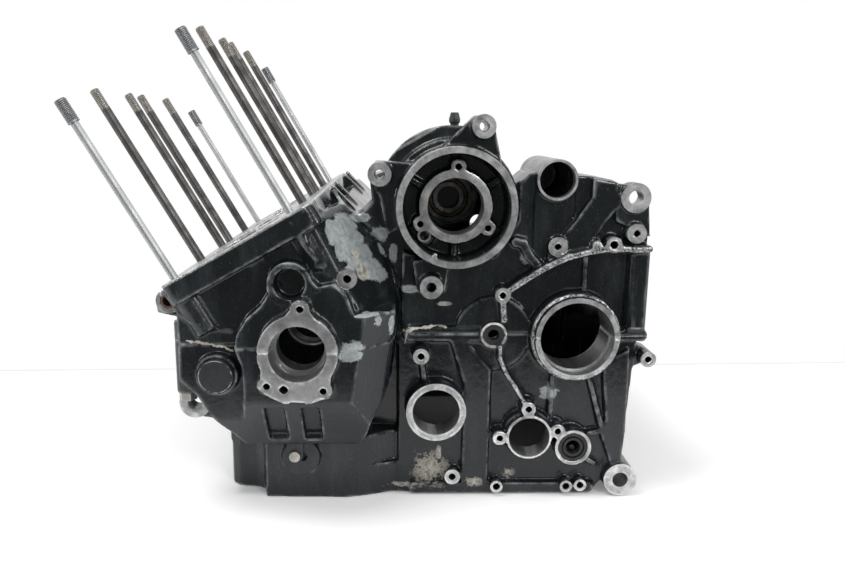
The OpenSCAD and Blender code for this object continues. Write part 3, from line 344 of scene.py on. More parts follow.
def casting_paint(name, spots, bores, worn, residue, tint):
    material = bpy.data.materials.new(name)
    material.use_nodes = True
    tree = material.node_tree
    shader = tree.nodes["Principled BSDF"]
    point = object_point(tree)
    xyz = add(tree, "ShaderNodeSeparateXYZ", {0: point})
    noises = {"coarse": noise(tree, point, 60.0, 6.0, 0.7),
              "fine": noise(tree, point, 230.0, 5.0, 0.7),
              "specks": noise(tree, point, 640.0, 3.0, 0.6)}
    wobble = maths(tree, "MULTIPLY", maths(tree, "SUBTRACT", noises["fine"], 0.5), 0.0009)
    spot, distance = spot_masks(tree, point, wobble, spots)
    bare = spot
    for bore in bores:
        bare = maths(tree, "MAXIMUM", bare, bore_mask(tree, xyz, *bore))
    lean = add(tree, "ShaderNodeVectorMath", {0: point, 1: DECK_NORMAL},
               operation="DOT_PRODUCT").outputs["Value"]
    deck = near_plane(tree, lean, DECK, 0.0008)
    bare = maths(tree, "MAXIMUM", bare, deck)
    deck_edge = maths(tree, "MULTIPLY", near_plane(tree, lean, DECK - 0.0010, 0.0009),
                      step_between(tree, noises["specks"], 0.36, 0.50))
    bare = maths(tree, "MAXIMUM", bare, maths(tree, "MULTIPLY", deck_edge, 0.8))
    on_rail = maths(tree, "MULTIPLY", near_plane(tree, xyz.outputs[1], -0.155, 0.0008),
                    step_between(tree, xyz.outputs[0], 0.149, 0.151))
    speckle = step_between(tree, maths(tree, "MULTIPLY", maths(tree, "ADD",
                           noises["specks"], noises["fine"]), 0.5), 0.44, 0.54)
    bare = maths(tree, "MAXIMUM", bare, maths(tree, "MULTIPLY", on_rail, speckle))
    thin = patch_mask(tree, point, noises, worn)
    crust = patch_mask(tree, point, noises, residue)
    worn_and_highlighted = placed(tree, worn_and_highlighted_edge, {"Point": point, "Amount": 1.0,
                                        "Grain": 95.0}).outputs[0]
    streaks = add(tree, "ShaderNodeMapping", {"Vector": point, "Scale": (1.0, 1.0, 0.3)})
    film = noise(tree, streaks.outputs[0], 42.0, 7.0, 0.68)
    haze = step_between(tree, film, 0.46, 0.78)
    dust = step_between(tree, noises["specks"], 0.62, 0.74)
    black = blend_colour(tree, haze, (*tint, 1), tuple(HAZE_GAIN * c for c in tint) + (1,))
    black = blend_colour(tree, maths(tree, "MULTIPLY", dust, 0.22), black, DUST)
    turning = noise(tree, add(tree, "ShaderNodeCombineXYZ", {0: distance}).outputs[0],
                    2600.0, 2.0, 0.5)
    scratch = blend_value(tree, 0.5, turning, noises["fine"])
    metal = blend_colour(tree, step_between(tree, scratch, 0.30, 0.68),
                         METAL_DARK, METAL_LIGHT)
    oxide = step_between(tree, noises["coarse"], 0.50, 0.72)
    metal = blend_colour(tree, maths(tree, "MULTIPLY", oxide, 0.55), metal, OXIDE)
    # Outer edges of bare metal go near white: a painted highlight.
    metal = blend_colour(tree, worn_and_highlighted, metal, METAL_EDGE_HIGHLIGHT)
    scuff = blend_colour(tree, step_between(tree, noises["fine"], 0.26, 0.66),
                         SCUFF_DARK, SCUFF_LIGHT)
    # Outer edges of the paint go lighter: partly worn paint, partly a painted highlight.
    colour = blend_colour(tree, maths(tree, "MULTIPLY", worn_and_highlighted, 0.75), black,
                          PAINT_WEAR_AND_HIGHLIGHT)
    colour = blend_colour(tree, thin, colour, scuff)
    colour = blend_colour(tree, bare, colour, metal)
    stain = blend_colour(tree, step_between(tree, noises["fine"], 0.35, 0.65),
                         STAIN_DARK, STAIN_LIGHT)
    colour = blend_colour(tree, crust, colour, stain)
    metallic = maths(tree, "MULTIPLY", maths(tree, "MAXIMUM",
                     maths(tree, "MULTIPLY", bare, 0.9),
                     maths(tree, "MULTIPLY", thin, 0.25)),
                     maths(tree, "SUBTRACT", 1.0, crust))
    rough = blend_value(tree, haze, 0.17, 0.38)
    rough = blend_value(tree, thin, rough, 0.32)
    rough = blend_value(tree, bare, rough, blend_value(tree, noises["fine"], 0.30, 0.46))
    rough = blend_value(tree, crust, rough, 0.85)
    grain = placed(tree, cast_grain, {"Point": point, "Fine": 950.0,
                                      "Coarse": 190.0}).outputs[0]
    height = maths(tree, "MULTIPLY", grain, blend_value(tree, bare, 1.0, 0.12))
    height = maths(tree, "ADD", height, maths(tree, "MULTIPLY", crust, 0.8))
    bump = add(tree, "ShaderNodeBump", {"Height": height, "Strength": 0.30,
                                        "Distance": 0.0006})
    shader.inputs["Specular IOR Level"].default_value = 0.5
    for socket, value in (("Base Color", colour), ("Metallic", metallic),
                          ("Roughness", rough), ("Normal", bump.outputs[0])):
        tree.links.new(value, shader.inputs[socket])
    return material

# Each patch: centre, stretch, fray, grain and cover.
UPPER_WORN = [
    ((0.032, -0.150, 0.088), (0.013, 0.020, 0.013), 1.6, "coarse", 1.00),
    ((0.024, -0.166, 0.086), (0.008, 0.012, 0.014), 1.4, "coarse", 0.95),
    ((0.037, -0.154, 0.077), (0.013, 0.020, 0.012), 1.6, "coarse", 1.00),
    ((0.031, -0.170, 0.072), (0.007, 0.012, 0.012), 1.4, "fine", 0.90),
    ((0.043, -0.154, 0.065), (0.013, 0.020, 0.012), 1.6, "coarse", 1.00),
    ((0.053, -0.149, 0.054), (0.012, 0.020, 0.009), 1.6, "coarse", 0.95),
    ((0.059, -0.145, 0.048), (0.008, 0.020, 0.006), 1.4, "fine", 0.90),
    ((0.037, -0.175, 0.059), (0.006, 0.012, 0.008), 1.6, "fine", 0.70),
    ((0.010, -0.150, 0.104), (0.012, 0.030, 0.008), 1.6, "coarse", 0.85),
    ((0.026, -0.120, 0.104), (0.010, 0.012, 0.005), 1.4, "fine", 0.85),
    ((0.043, -0.133, 0.092), (0.011, 0.006, 0.005), 1.4, "fine", 0.85),
    ((0.058, -0.133, 0.079), (0.009, 0.005, 0.008), 1.5, "fine", 0.80),
    ((0.069, -0.133, 0.064), (0.005, 0.005, 0.010), 1.5, "fine", 0.75),
    ((0.060, -0.129, 0.066), (0.008, 0.005, 0.009), 1.5, "fine", 0.70),
    ((0.049, -0.184, 0.0255), (0.015, 0.012, 0.0016), 1.0, "fine", 0.85),
    ((0.056, -0.176, 0.0195), (0.008, 0.012, 0.007), 1.6, "fine", 0.70),
    ((0.068, -0.168, 0.014), (0.004, 0.012, 0.016), 1.4, "fine", 0.65),
    ((0.040, -0.191, 0.001), (0.012, 0.012, 0.008), 1.5, "fine", 0.75),
    ((0.026, -0.181, 0.036), (0.008, 0.008, 0.006), 1.8, "fine", 0.55),
    ((0.082, -0.141, 0.036), (0.010, 0.008, 0.004), 0.9, "fine", 0.85),
    ((0.176, -0.141, 0.062), (0.010, 0.008, 0.010), 1.4, "fine", 0.60),
]
UPPER_RESIDUE = [
    ((0.046, -0.160, 0.0535), (0.010, 0.014, 0.008), 0.9, "fine", 0.85),
    ((0.041, -0.158, 0.0665), (0.006, 0.008, 0.005), 1.2, "fine", 0.75),
    ((0.110, -0.141, 0.024), (0.009, 0.006, 0.003), 1.0, "fine", 0.70),
]
LOWER_WORN = [
    ((0.198, -0.141, -0.050), (0.012, 0.010, 0.012), 1.5, "fine", 0.62),
    ((0.055, -0.170, -0.066), (0.005, 0.020, 0.014), 1.6, "fine", 0.55),
    ((0.038, -0.191, -0.004), (0.014, 0.012, 0.008), 1.5, "fine", 0.72),
    ((-0.090, -0.160, -0.058), (0.018, 0.012, 0.014), 1.5, "fine", 0.78),
]
LOWER_RESIDUE = [
    ((0.101, -0.143, -0.117), (0.025, 0.012, 0.023), 2.2, "fine", 0.62),
    ((0.108, -0.143, -0.104), (0.004, 0.012, 0.012), 1.6, "fine", 0.72),
    ((0.137, -0.146, -0.127), (0.012, 0.010, 0.007), 1.9, "fine", 0.62),
    ((0.167, -0.143, -0.122), (0.009, 0.010, 0.008), 1.9, "fine", 0.60),
    ((0.080, -0.135, -0.132), (0.030, 0.020, 0.004), 1.9, "fine", 0.60),
]
UPPER_SPOTS = [f for f in FACES if f[1] >= -1]
LOWER_SPOTS = [f for f in FACES if f[1] <= 1]
upper_paint = casting_paint("upper_case_paint", UPPER_SPOTS,
    [b for b in BORES if b[1] >= -1], UPPER_WORN, UPPER_RESIDUE, (0.0075, 0.0095, 0.0105))
lower_paint = casting_paint("lower_case_paint", LOWER_SPOTS,
    [b for b in BORES if b[1] <= 1], LOWER_WORN, LOWER_RESIDUE, (0.0075, 0.0088, 0.0110))
print("casting paints:", upper_paint.name, lower_paint.name)

# %% [markdown]
# ## From sharp solid to casting
# A sand casting has no sharp inside corners: metal flowed round them. The solid is
# rebuilt from small cells (voxels), which lets neighbouring faces melt together,
# then smoothed everywhere but on the machined faces, and thinned where it is flat.

# %% Moulded forms
# Radius, then the path of each rib, lip or gusset on the upper half, in millimetres.
FORMS = [
    (1.9, [(19.5, -106, 111.5), (30.5, -127, 98.9), (43.3, -132, 91.6), (53.6, -132, 83),
           (63.2, -132, 73.4), (68.8, -132, 64.6), (72.1, -132, 55.7)]),
    (1.8, [(46.4, -131, 81.2), (55.9, -128, 71.1), (63.2, -126, 61.1), (68.1, -126, 52),
           (69.8, -132, 37.6), (74.7, -129, 24.5)]),
    (3.0, [(-4.8, -189, 95), (0, -188, 86.4), (5, -184.8, 77), (12.1, -184.5, 68.2),
           (18.9, -181.5, 58.8), (26.2, -181, 49.9)]),
    (2.2, [(-101.9, -174, 39.9), (-93.7, -184.5, 36.4), (-90.4, -178, 25.7),
           (-80.6, -182.5, 19.3), (-72.9, -184.5, 17.6), (-61.5, -178, 13.5),
           (-51.2, -178, 12)]),
    (1.9, [(-36.4, -178, 60.7), (-27.4, -178, 67.5), (-20.9, -178, 63.8),
           (-16.8, -178, 54.1), (-11.1, -178, 46.6)]),
    (1.9, [(41.1, -187.4, 25.5), (49, -183.6, 25.4), (57.8, -176.6, 25.2),
           (65.3, -172.6, 23.5)]),
    (2.0, [(100.2, -163.1, 65.8), (101.6, -163.1, 68.6)]),
    (1.5, [(71.5, -138.8, 11.8), (73.2, -136.6, 1.2), (73.5, -121.6, -15.7)]),
    (1.4, [(73, -132.4, 37.7), (79.4, -139.6, 35.9), (85.8, -139.6, 33.5)]),
]

def stations(path, pace):
    """Points along a path in millimetres, about a pace apart, in metres."""
    corners, placed_at = [Vector(p) / 1000 for p in path], []
    for a, b in zip(corners, corners[1:]):
        count = max(1, int((b - a).length / pace))
        placed_at += [a.lerp(b, k / count) for k in range(count)]
    return placed_at + [corners[-1]]

def sweep_bar(work, points, radii, around=10):
    """A closed round bar through the points, added to an open bmesh."""
    rings = []
    for i, (point, radius) in enumerate(zip(points, radii)):
        ahead = points[min(i + 1, len(points) - 1)] - points[max(i - 1, 0)]
        turn = ahead.to_track_quat("Z", "Y").to_matrix()
        angles = [k * math.tau / around for k in range(around)]
        rings.append([work.verts.new(point + turn @ Vector(
            (radius * math.cos(a), radius * math.sin(a), 0))) for a in angles])
    for low, high in zip(rings, rings[1:]):
        for k in range(around):
            j = (k + 1) % around
            work.faces.new((low[k], low[j], high[j], high[k]))
    work.faces.new(rings[0][::-1])
    work.faces.new(rings[-1])

# %% [markdown]
# ## Melting the solids into castings
# The ribs and lips join the solid first, so that the metal flows round them too. The
# rims of machined faces are then pulled onto true circles and kept from smoothing. The
# cells leave hidden bores a little tighter than the solids have them.

# %% Castings
VOXEL = 0.0011
FLAT_BAND = 0.0012
FACE_LIMIT = 195000
MELT_ROUNDS = 9
SHARP_FROM = math.radians(38)

def mesh_copy(node, name):
    mesh = nodes[node].data.copy()
    mesh.name = name
    work = bmesh.new()
    work.from_mesh(mesh)
    bmesh.ops.remove_doubles(work, verts=work.verts, dist=2e-6)
    work.to_mesh(mesh)
    work.free()
    mesh.materials.clear()
    return mesh

def linked(name, mesh):
    piece = bpy.data.objects.new(name, mesh)
    scene.collection.objects.link(piece)
    return piece

def finished_mesh(piece):
    graph = bpy.context.evaluated_depsgraph_get()
    mesh = bpy.data.meshes.new_from_object(piece.evaluated_get(graph))
    piece.modifiers.clear()
    old = piece.data
    piece.data = mesh
    bpy.data.meshes.remove(old)
    return piece

def machined_weight(points, spots, bores):
    """1 where a point may be smoothed, 0 on a machined face or bore."""
    soft = np.ones(len(points))
    for x, z, r, y in spots:
        far = np.hypot(points[:, 0] - x / 1000, points[:, 2] - z / 1000)
        soft[(far < r / 1000 + 0.0008) & (abs(points[:, 1] - y / 1000) < 0.0022)] = 0.0
    for x, z, r, y0, y1 in bores:
        far = np.hypot(points[:, 0] - x / 1000, points[:, 2] - z / 1000)
        on = abs(far - r / 1000) < FLAT_BAND
        soft[on & (points[:, 1] > y0 / 1000 - 0.001) & (points[:, 1] < y1 / 1000 + 0.001)] = 0.0
    return soft

def with_forms(mesh, forms):
    work = bmesh.new()
    work.from_mesh(mesh)
    for radius, path in forms:
        points = stations(path, 0.004)
        sweep_bar(work, points, [radius / 1000] * len(points))
    work.to_mesh(mesh)
    work.free()
    return mesh

def true_rims(mesh, spots, bores):
    """Vertices next to a machined rim go onto it, so that its edge is a true circle."""
    points = np.empty(len(mesh.vertices) * 3)
    mesh.vertices.foreach_get("co", points)
    points = points.reshape(-1, 3)
    rims = [(x, z, r - 0.3, y) for x, z, r, y in spots] + [b[:4] for b in bores]
    for x, z, r, y in np.array(rims) / 1000:
        dx, dz = points[:, 0] - x, points[:, 2] - z
        far = np.hypot(dx, dz)
        near = np.hypot(far - r, points[:, 1] - y) < 0.8 * VOXEL
        grow = r / far[near]
        points[near] = np.column_stack((x + dx[near] * grow, np.full(near.sum(), y),
                                        z + dz[near] * grow))
    mesh.vertices.foreach_set("co", points.ravel())
    return points

def make_casting(node, spots, bores, material, forms=()):
    piece = linked(node + "_casting",
                   with_forms(mesh_copy(node, node + "_casting"), forms))
    remesh = piece.modifiers.new("cells", "REMESH")
    remesh.mode = "VOXEL"
    remesh.voxel_size = VOXEL
    finished_mesh(piece)
    cells = len(piece.data.polygons)
    points = true_rims(piece.data, spots, bores)
    soft = machined_weight(points, spots, bores)
    on_split = abs(points[:, 2]) < FLAT_BAND
    soft[on_split] = 0.0
    lean = points @ np.array(DECK_NORMAL)
    soft[abs(lean - DECK) < FLAT_BAND] = 0.0
    group = piece.vertex_groups.new(name="soft")
    for weight in (0.0, 1.0):
        chosen = np.nonzero(soft == weight)[0].tolist()
        group.add(chosen, weight, "REPLACE")
    smooth = piece.modifiers.new("melt", "SMOOTH")
    smooth.factor = 0.5
    smooth.iterations = MELT_ROUNDS
    smooth.vertex_group = "soft"
    thin = piece.modifiers.new("thin", "DECIMATE")
    thin.ratio = min(1.0, FACE_LIMIT / (2 * cells))
    finished_mesh(piece)
    piece.vertex_groups.clear()
    piece.data.materials.append(material)
    piece.data.polygons.foreach_set("use_smooth", [True] * len(piece.data.polygons))
    piece.data.set_sharp_from_angle(angle=SHARP_FROM)
    print(node, "cells", cells, "faces", len(piece.data.polygons))
    return piece

upper_casting = make_casting("upper_case", FACES, BORES, upper_paint, FORMS)
lower_casting = make_casting("lower_case", FACES, BORES, lower_paint)
for piece, node, finish in ((upper_casting, "upper_case", "black_casting"),
                            (lower_casting, "lower_case", "black_casting_lower")):
    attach(piece, "root")
    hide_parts(node)

# %% [markdown]
# ## Floor, light and backdrop
# The engine stands on a pale sheet with its far edge just behind it. The floor is a
# pale colour that glows a little for the camera, except in a rectangle beneath the
# case, which is left darker as painted shade. The world is white only where the camera
# or a reflection sees it, so that the object itself gets soft, ordinary light.

# %% Floor and world
ROOM = 0.13
FLOOR_Z = -0.1392
SHEET_GLOW = 0.16

def sheet(name, corners, material):
    mesh = bpy.data.meshes.new(name)
    mesh.from_pydata([(x, y, FLOOR_Z) for x, y in corners], [], [(0, 1, 2, 3)])
    mesh.materials.append(material)
    piece = linked(name, mesh)
    return piece

def make_floor():
    """The sheet that the case stands on, and the white ground behind its far edge."""
    near = bpy.data.materials.new("floor_sheet")
    near.use_nodes = True
    tree = near.node_tree
    shader = tree.nodes["Principled BSDF"]
    camera_ray = add(tree, "ShaderNodeLightPath").outputs["Is Camera Ray"]
    cloud = step_between(tree, noise(tree, object_point(tree), 5.0, 2.0), 0.3, 0.7)
    tree.links.new(blend_colour(tree, cloud, (0.90, 0.905, 0.90, 1), (0.94, 0.94, 0.94, 1)),
                   shader.inputs["Base Color"])
    shader.inputs["Roughness"].default_value = 0.6
    shader.inputs["Emission Color"].default_value = (1, 1, 1, 1)
    xyz = add(tree, "ShaderNodeSeparateXYZ", {0: object_point(tree)})
    # A rectangle beneath the case gets no camera glow: painted shade, seen also through the open
    # bores.
    painted_shade_footprint = 1.0
    for axis, middle, half in ((0, 0.086, 0.150), (1, 0.0, 0.145)):
        off = maths(tree, "ABSOLUTE", maths(tree, "SUBTRACT", xyz.outputs[axis], middle))
        painted_shade_footprint = maths(tree, "MULTIPLY", step_between(tree, off, half, half - 0.008), painted_shade_footprint)
    glow_round_painted_shade = maths(tree, "MULTIPLY", camera_ray, maths(tree, "SUBTRACT", 1.0, painted_shade_footprint))
    tree.links.new(maths(tree, "MULTIPLY", glow_round_painted_shade, SHEET_GLOW), shader.inputs["Emission Strength"])
    far = bpy.data.materials.new("white_ground")
    far.use_nodes = True
    tree = far.node_tree
    tree.nodes.clear()
    camera_ray = add(tree, "ShaderNodeLightPath").outputs["Is Camera Ray"]
    glow = add(tree, "ShaderNodeEmission", {"Color": (1, 1, 1, 1),
               "Strength": blend_value(tree, camera_ray, 0.60, 1.0)})
    out = add(tree, "ShaderNodeOutputMaterial")
    tree.links.new(glow.outputs[0], out.inputs["Surface"])
    line = far.copy()
    line.name = "sheet_edge"
    line.node_tree.nodes["Emission"].inputs["Color"].default_value = (0.78, 0.79, 0.80, 1)
    size, back, lean = 2.6, 0.200, 0.036
    edge = ((-size, back - lean * size), (size, back + lean * size))
    sheet("floor", [(-size, -0.45), (size, -0.45), edge[1], edge[0]], near)
    gap = 0.0030
    sheet("sheet_edge", [edge[0], edge[1], (edge[1][0], edge[1][1] + gap),
                         (edge[0][0], edge[0][1] + gap)], line)
    sheet("ground_behind", [(edge[0][0], edge[0][1] + gap), (edge[1][0], edge[1][1] + gap),
                            (size, size), (-size, size)], far)

def make_world():
    """White where the camera looks. The room in front of the case reflects darker."""
    world = bpy.data.worlds.new("studio")
    scene.world = world
    world.use_nodes = True
    tree = world.node_tree
    tree.nodes.clear()
    path = add(tree, "ShaderNodeLightPath")
    clear = maths(tree, "MAXIMUM", path.outputs["Is Camera Ray"],
                  path.outputs["Is Transmission Ray"])
    way = add(tree, "ShaderNodeSeparateXYZ", {0: object_point(tree)})
    behind = maths(tree, "ADD", way.outputs[1], maths(tree, "MULTIPLY", way.outputs[2], 0.9))
    mirrored = blend_value(tree, step_between(tree, behind, -0.32, 0.42), ROOM, 1.0)
    other = blend_value(tree, path.outputs["Is Glossy Ray"], 0.62, mirrored)
    strength = blend_value(tree, clear, other, 1.0)
    back = add(tree, "ShaderNodeBackground", {"Color": (1, 1, 1, 1), "Strength": strength})
    out = add(tree, "ShaderNodeOutputWorld")
    tree.links.new(back.outputs[0], out.inputs["Surface"])

def soft_light(name, place, aim, size, power):
    data = bpy.data.lights.new(name, "AREA")
    data.shape, data.size, data.energy = "SQUARE", size, power
    light = bpy.data.objects.new(name, data)
    light.location = place
    light.rotation_euler = (Vector(aim) - Vector(place)).to_track_quat("-Z", "Y").to_euler()
    scene.collection.objects.link(light)

make_floor()
make_world()
soft_light("overhead", (-0.35, -0.35, 1.25), (0.08, -0.05, 0.0), 0.55, 9.0)
soft_light("front", (0.75, -1.35, 0.75), (0.1, -0.1, 0.0), 0.40, 6.0)
soft_light("left strip", (-1.0, -0.75, 0.35), (0.0, -0.1, 0.0), 0.30, 3.0)
soft_light("right strip", (1.15, -0.45, 0.45), (0.1, -0.1, 0.0), 0.30, 3.0)
scene.view_settings.view_transform = "Standard"

# %% [markdown]
# ## Cylinder studs
# Four end studs are zinc plated, with a thin shank and a much wider thread. The eight
# inner ones are dark, with a thread hardly wider than the shank. The thread is a real
# helix: a ridge profile is swept round and up, so it catches the light in turns.

# %% Stud mesh
STUD_Y = (-0.177, -0.097, -0.017, 0.017, 0.097, 0.177)
FRONT_U, REAR_U = -0.0545, 0.0445
PITCH, ROWS_PER_TURN, TIP_BEVEL = 0.00125, 6, 0.0007

def stud_mesh(name, shank, major, pitch, thread, height, sunk):
    """A stud along Z from -sunk to height, whose top has a helical thread."""
    around, rows = 24, []
    start = height - thread
    def row(z, radius, depth):
        for k in range(around + 1):
            turn = k / around
            wave = abs(((z / pitch - turn) % 1.0) * 2 - 1)
            rows.append((radius - depth * wave, turn * math.tau, z))
    row(-sunk, shank, 0)
    row(start - 0.0012, shank, 0)
    steps = int(thread / pitch * ROWS_PER_TURN)
    for i in range(steps + 1):
        z = start + thread * i / steps
        fade = min(1.0, i / ROWS_PER_TURN, (steps - i) / 4 + 0.35)
        row(z, (major if i else shank) - (TIP_BEVEL if i > steps - 3 else 0),
            0.50 * pitch * fade)
    verts = [(r * math.cos(a), r * math.sin(a), z) for r, a, z in rows]
    loops = len(rows) // (around + 1)
    faces = [(j * (around + 1) + k, j * (around + 1) + k + 1,
              (j + 1) * (around + 1) + k + 1, (j + 1) * (around + 1) + k)
             for j in range(loops - 1) for k in range(around)]
    faces.append(tuple(range(around - 1, -1, -1)))
    faces.append(tuple((loops - 1) * (around + 1) + k for k in range(around)))
    mesh = bpy.data.meshes.new(name)
    mesh.from_pydata(verts, [], faces)
    work = bmesh.new()
    work.from_mesh(mesh)
    bmesh.ops.remove_doubles(work, verts=work.verts, dist=1e-6)
    bmesh.ops.recalc_face_normals(work, faces=work.faces)
    work.to_mesh(mesh)
    work.free()
    mesh.polygons.foreach_set("use_smooth", [True] * len(mesh.polygons))
    mesh.set_sharp_from_angle(angle=math.radians(50))
    return mesh

end_mesh = stud_mesh("end_stud", shank=0.0030, major=0.0045, pitch=PITCH,
                     thread=0.018, height=0.147, sunk=0.004)
inner_mesh = stud_mesh("inner_stud", shank=0.0037, major=0.0039, pitch=PITCH,
                       thread=0.017, height=0.159, sunk=0.004)
print("stud faces:", len(end_mesh.polygons), len(inner_mesh.polygons))

# %% [markdown]
# ## Placing the studs with Geometry Nodes
# One stud is drawn once and placed on points, each point standing for a hole in the
# deck. The tree has inputs for the lean of the deck, so the same tree serves both
# kinds. It ends in Realize Instances and Set Material.

# %% Stud tree
def repeat_tree(name, mesh_object, material):
    tree = bpy.data.node_groups.new(name, "GeometryNodeTree")
    tree.interface.new_socket("Points", in_out="INPUT", socket_type="NodeSocketGeometry")
    lean = tree.interface.new_socket("Lean", in_out="INPUT", socket_type="NodeSocketFloat")
    tree.interface.new_socket("Copies", in_out="OUTPUT", socket_type="NodeSocketGeometry")
    given, out = tree.nodes.new("NodeGroupInput"), tree.nodes.new("NodeGroupOutput")
    pattern = add(tree, "GeometryNodeObjectInfo")
    pattern.inputs["Object"].default_value = mesh_object
    turn = add(tree, "ShaderNodeCombineXYZ", {1: given.outputs["Lean"]})
    place = add(tree, "GeometryNodeInstanceOnPoints", {"Points": given.outputs["Points"],
                "Instance": pattern.outputs["Geometry"], "Rotation": turn.outputs[0]})
    real = add(tree, "GeometryNodeRealizeInstances", {0: place.outputs[0]})
    paint = add(tree, "GeometryNodeSetMaterial", {"Geometry": real.outputs[0],
                "Material": material})
    tree.links.new(paint.outputs[0], out.inputs[0])
    return tree, lean.identifier

def repeated(name, mesh, points, lean, material):
    pattern = linked(name + "_pattern", mesh)
    cloud = bpy.data.meshes.new(name)
    cloud.from_pydata(points, [], [])
    piece = linked(name, cloud)
    tree, socket = repeat_tree(name + "_tree", pattern, material)
    modifier = piece.modifiers.new("repeat", "NODES")
    modifier.node_group = tree
    modifier[socket] = lean
    finished_mesh(piece)
    bpy.data.objects.remove(pattern)
    print(name, "copies", len(points), "faces", len(piece.data.polygons))
    return piece

def on_deck(u, y):
    return (u * math.cos(TILT) - DECK * math.sin(TILT), y,
            u * math.sin(TILT) + DECK * math.cos(TILT))

# %% [markdown]
# ## Steel finishes
# Zinc is pale and slightly cloudy, and oiled steel is dark brown-grey. One noise gives
# the clouds, and a finer one gives grain where a piece has it. Rust, black steel and
# rubber are the same recipe with other colours.

# %% Steel recipe
def steel(name, dark, light, roughness, metallic=1.0, scale=60.0,
          stain=None, stain_low=0.55, bump=0.10, detail=6.0, thread=None, rim_highlight=None):
    material = bpy.data.materials.new(name)
    material.use_nodes = True
    tree = material.node_tree
    shader = tree.nodes["Principled BSDF"]
    point = object_point(tree)
    cloud = step_between(tree, noise(tree, point, scale, detail, 0.62), 0.30, 0.70)
    colour = blend_colour(tree, cloud, (*dark, 1), (*light, 1))
    rough = blend_value(tree, cloud, roughness + 0.10, roughness)
    if thread:
        height, rolled = thread
        along = add(tree, "ShaderNodeVectorMath", {0: object_point(tree), 1: DECK_NORMAL},
                    operation="DOT_PRODUCT").outputs["Value"]
        on_thread = step_between(tree, along, DECK + height - 0.001, DECK + height + 0.001)
        colour = blend_colour(tree, on_thread, colour, (*rolled, 1))
        rough = blend_value(tree, on_thread, rough, 0.52)
    # A lighter ring at the given radius, broken by a noise, is a painted highlight on a plug's
    # rim.
    if rim_highlight:
        x, z, radius = (value / 1000 for value in rim_highlight)
        xyz = add(tree, "ShaderNodeSeparateXYZ", {0: object_point(tree)})
        ring = near_plane(tree, distance_from_axis(tree, xyz, x, z), radius, 0.00035)
        ring = maths(tree, "MULTIPLY", ring, step_between(tree, noise(tree, point,
                     160.0, 3.0), 0.42, 0.52))
        colour = blend_colour(tree, ring, colour, (0.32, 0.33, 0.33, 1))
    if stain:
        spot = step_between(tree, noise(tree, point, scale * 2.2, 5.0, 0.7),
                            stain_low, stain_low + 0.12)
        colour = blend_colour(tree, spot, colour, (*stain, 1))
        rough = blend_value(tree, spot, rough, 0.75)
        metal = maths(tree, "MULTIPLY", maths(tree, "SUBTRACT", 1.0, spot), metallic)
        tree.links.new(metal, shader.inputs["Metallic"])
    else:
        shader.inputs["Metallic"].default_value = metallic
    tree.links.new(colour, shader.inputs["Base Color"])
    tree.links.new(rough, shader.inputs["Roughness"])
    if bump:
        fine = noise(tree, point, scale * 14.0, 3.0, 0.6)
        bumped = add(tree, "ShaderNodeBump", {"Height": fine, "Strength": bump,
                                              "Distance": 0.0004})
        tree.links.new(bumped.outputs[0], shader.inputs["Normal"])
    return material

zinc = steel("zinc_stud", (0.46, 0.465, 0.47), (0.62, 0.63, 0.635), 0.46, scale=45.0,
             bump=0, detail=1.0, thread=(0.129, (0.27, 0.275, 0.28)))
oiled = steel("oiled_stud", (0.085, 0.082, 0.080), (0.19, 0.185, 0.18), 0.42,
              scale=70.0, bump=0, detail=1.0, thread=(0.142, (0.33, 0.31, 0.285)))
plated = steel("plated_bolt", (0.30, 0.29, 0.26), (0.62, 0.60, 0.55), 0.38, scale=120.0)
bright = steel("bright_screw", (0.52, 0.53, 0.53), (0.80, 0.81, 0.81), 0.30, scale=150.0)
bearing = steel("bearing_steel", (0.10, 0.10, 0.10), (0.30, 0.30, 0.30), 0.25, scale=90.0)
brass = steel("bearing_cage", (0.10, 0.075, 0.045), (0.26, 0.20, 0.11), 0.42, scale=90.0)
rusty = steel("rusty_sleeve", (0.06, 0.038, 0.026), (0.17, 0.11, 0.075), 0.70,
              metallic=0.3, scale=140.0, stain=(0.22, 0.12, 0.06), stain_low=0.56, bump=0.4)
shell = steel("bearing_shell", (0.35, 0.35, 0.36), (0.60, 0.60, 0.60), 0.32, scale=80.0)
black_steel = steel("black_plug", (0.012, 0.013, 0.014), (0.030, 0.032, 0.034), 0.36,
                    metallic=0.0, scale=110.0, stain=(0.10, 0.10, 0.10), stain_low=0.70)
# The cap plug's lighter rim ring is a painted highlight.
cap_plug = steel("cap_plug", (0.012, 0.013, 0.014), (0.030, 0.032, 0.034), 0.30,
                 metallic=0.0, scale=110.0, rim_highlight=(-62.4, -21, 12.3))
rubber = steel("seal_rubber", (0.010, 0.010, 0.011), (0.026, 0.026, 0.027), 0.52,
               metallic=0.0, scale=160.0)

# %% [markdown]
# ## The two kinds of stud
# The four corner studs are the silver ones. The eight between them are darker, and
# all lean with the deck, because the cylinders of this engine lean forward.

# %% Studs on the deck
end_points = [on_deck(u, y) for u in (FRONT_U, REAR_U) for y in (STUD_Y[0], STUD_Y[5])]
inner_points = [on_deck(u, y) for u in (FRONT_U, REAR_U) for y in STUD_Y[1:5]]
end_studs = repeated("end_stud_set", end_mesh, end_points, -TILT, zinc)
inner_studs = repeated("inner_stud_set", inner_mesh, inner_points, -TILT, oiled)
for piece, node, finish in ((end_studs, "end_studs", "bright_steel"),
                            (inner_studs, "inner_studs", "dark_steel")):
    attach(piece, "root")
    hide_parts(node)

# %% [markdown]
# ## Sealant squeezed from the joint
# The two halves were put together with liquid sealant. What was too much came out
# along the seam and set as a lumpy grey bead, with one drip on the right. Each bead is
# a bar through points on the seam, whose thickness a fixed random series changes.

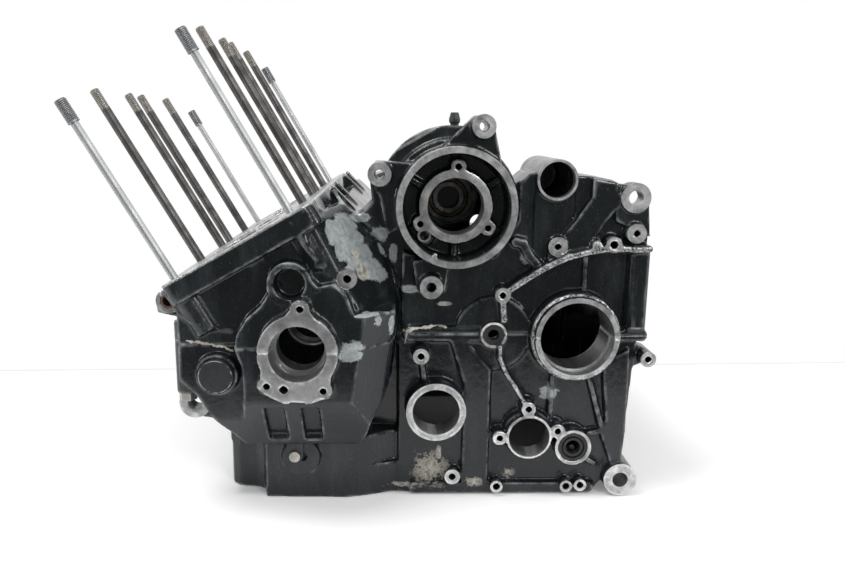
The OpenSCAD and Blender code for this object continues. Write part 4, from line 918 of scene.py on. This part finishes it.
# %% Sealant beads
BEADS = [
    (1.2, [(-94.7, -172.6, 2.5), (-84.9, -178.8, 3.4), (-76.8, -178.8, 2.6),
           (-67.2, -178.8, 0.7), (-57.6, -178.8, -1.2), (-50.7, -178.8, -4.7)]),
    (1.4, [(77.2, -139.8, 2), (80.4, -145.8, 2), (85.1, -145.8, 4.9), (90.7, -145.8, 5.3),
           (95.5, -145.8, 5.8), (100.4, -143.5, 6), (105.4, -140.9, 6), (112.4, -145.8, 5.4)]),
    (0.9, [(80.4, -145.8, 2), (79.6, -145.8, -2.2), (79, -139.8, -9.7)]),
]

def make_beads():
    dice = random.Random(7)
    work = bmesh.new()
    for radius, path in BEADS:
        points = stations(path, 0.0011)
        thick = [radius / 1000 * dice.uniform(0.45, 1.25) for _ in points]
        thick[0] = thick[-1] = 0.0003
        points = [p + Vector([dice.uniform(-0.0004, 0.0004) for _ in range(3)])
                  for p in points]
        sweep_bar(work, points, thick, 8)
    mesh = bpy.data.meshes.new("sealant_beads")
    work.to_mesh(mesh)
    work.free()
    mesh.polygons.foreach_set("use_smooth", [True] * len(mesh.polygons))
    return linked("sealant_beads", mesh)

beads = make_beads()
beads.data.materials.append(steel("sealant", (0.25, 0.23, 0.19), (0.60, 0.57, 0.50), 0.5,
                                  metallic=0.0, scale=160.0))
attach(beads, "root")
print("sealant faces:", len(beads.data.polygons))

# %% [markdown]
# ## Small pieces that keep their CAD shape
# Bolts, shells, dowels and rings are right as they are. They only need a finish, so
# the recipe's material takes the place of the plain one.

# %% Finishes for CAD pieces
KEPT = {
    "upper_main_shells": shell, "lower_main_shells": shell, "case_dowels": bright,
    "main_bolts": plated, "end_main_bolts": plated, "main_washers": plated,
    "gearbox_bolts": plated, "front_bolts": plated, "shaft_bearing_outer": bearing,
    "shaft_bearing_inner": bearing, "shaft_bearing_balls": bearing,
    "shaft_bearing_cage": brass, "drum_dowel": bright, "vent_nipple": black_steel,
    "front_mount_sleeves": rusty, "crank_cap_plug": cap_plug,
    "gallery_plug": black_steel, "plug_keeper": black_steel, "keeper_bolt": plated,
    "shift_shaft_seal": rubber, "clutch_rod_seal": rubber, "output_half_ring": bright,
    "end_gallery_plugs": plated,
}
for name, material in KEPT.items():
    nodes[name].data.materials.clear()
    nodes[name].data.materials.append(material)
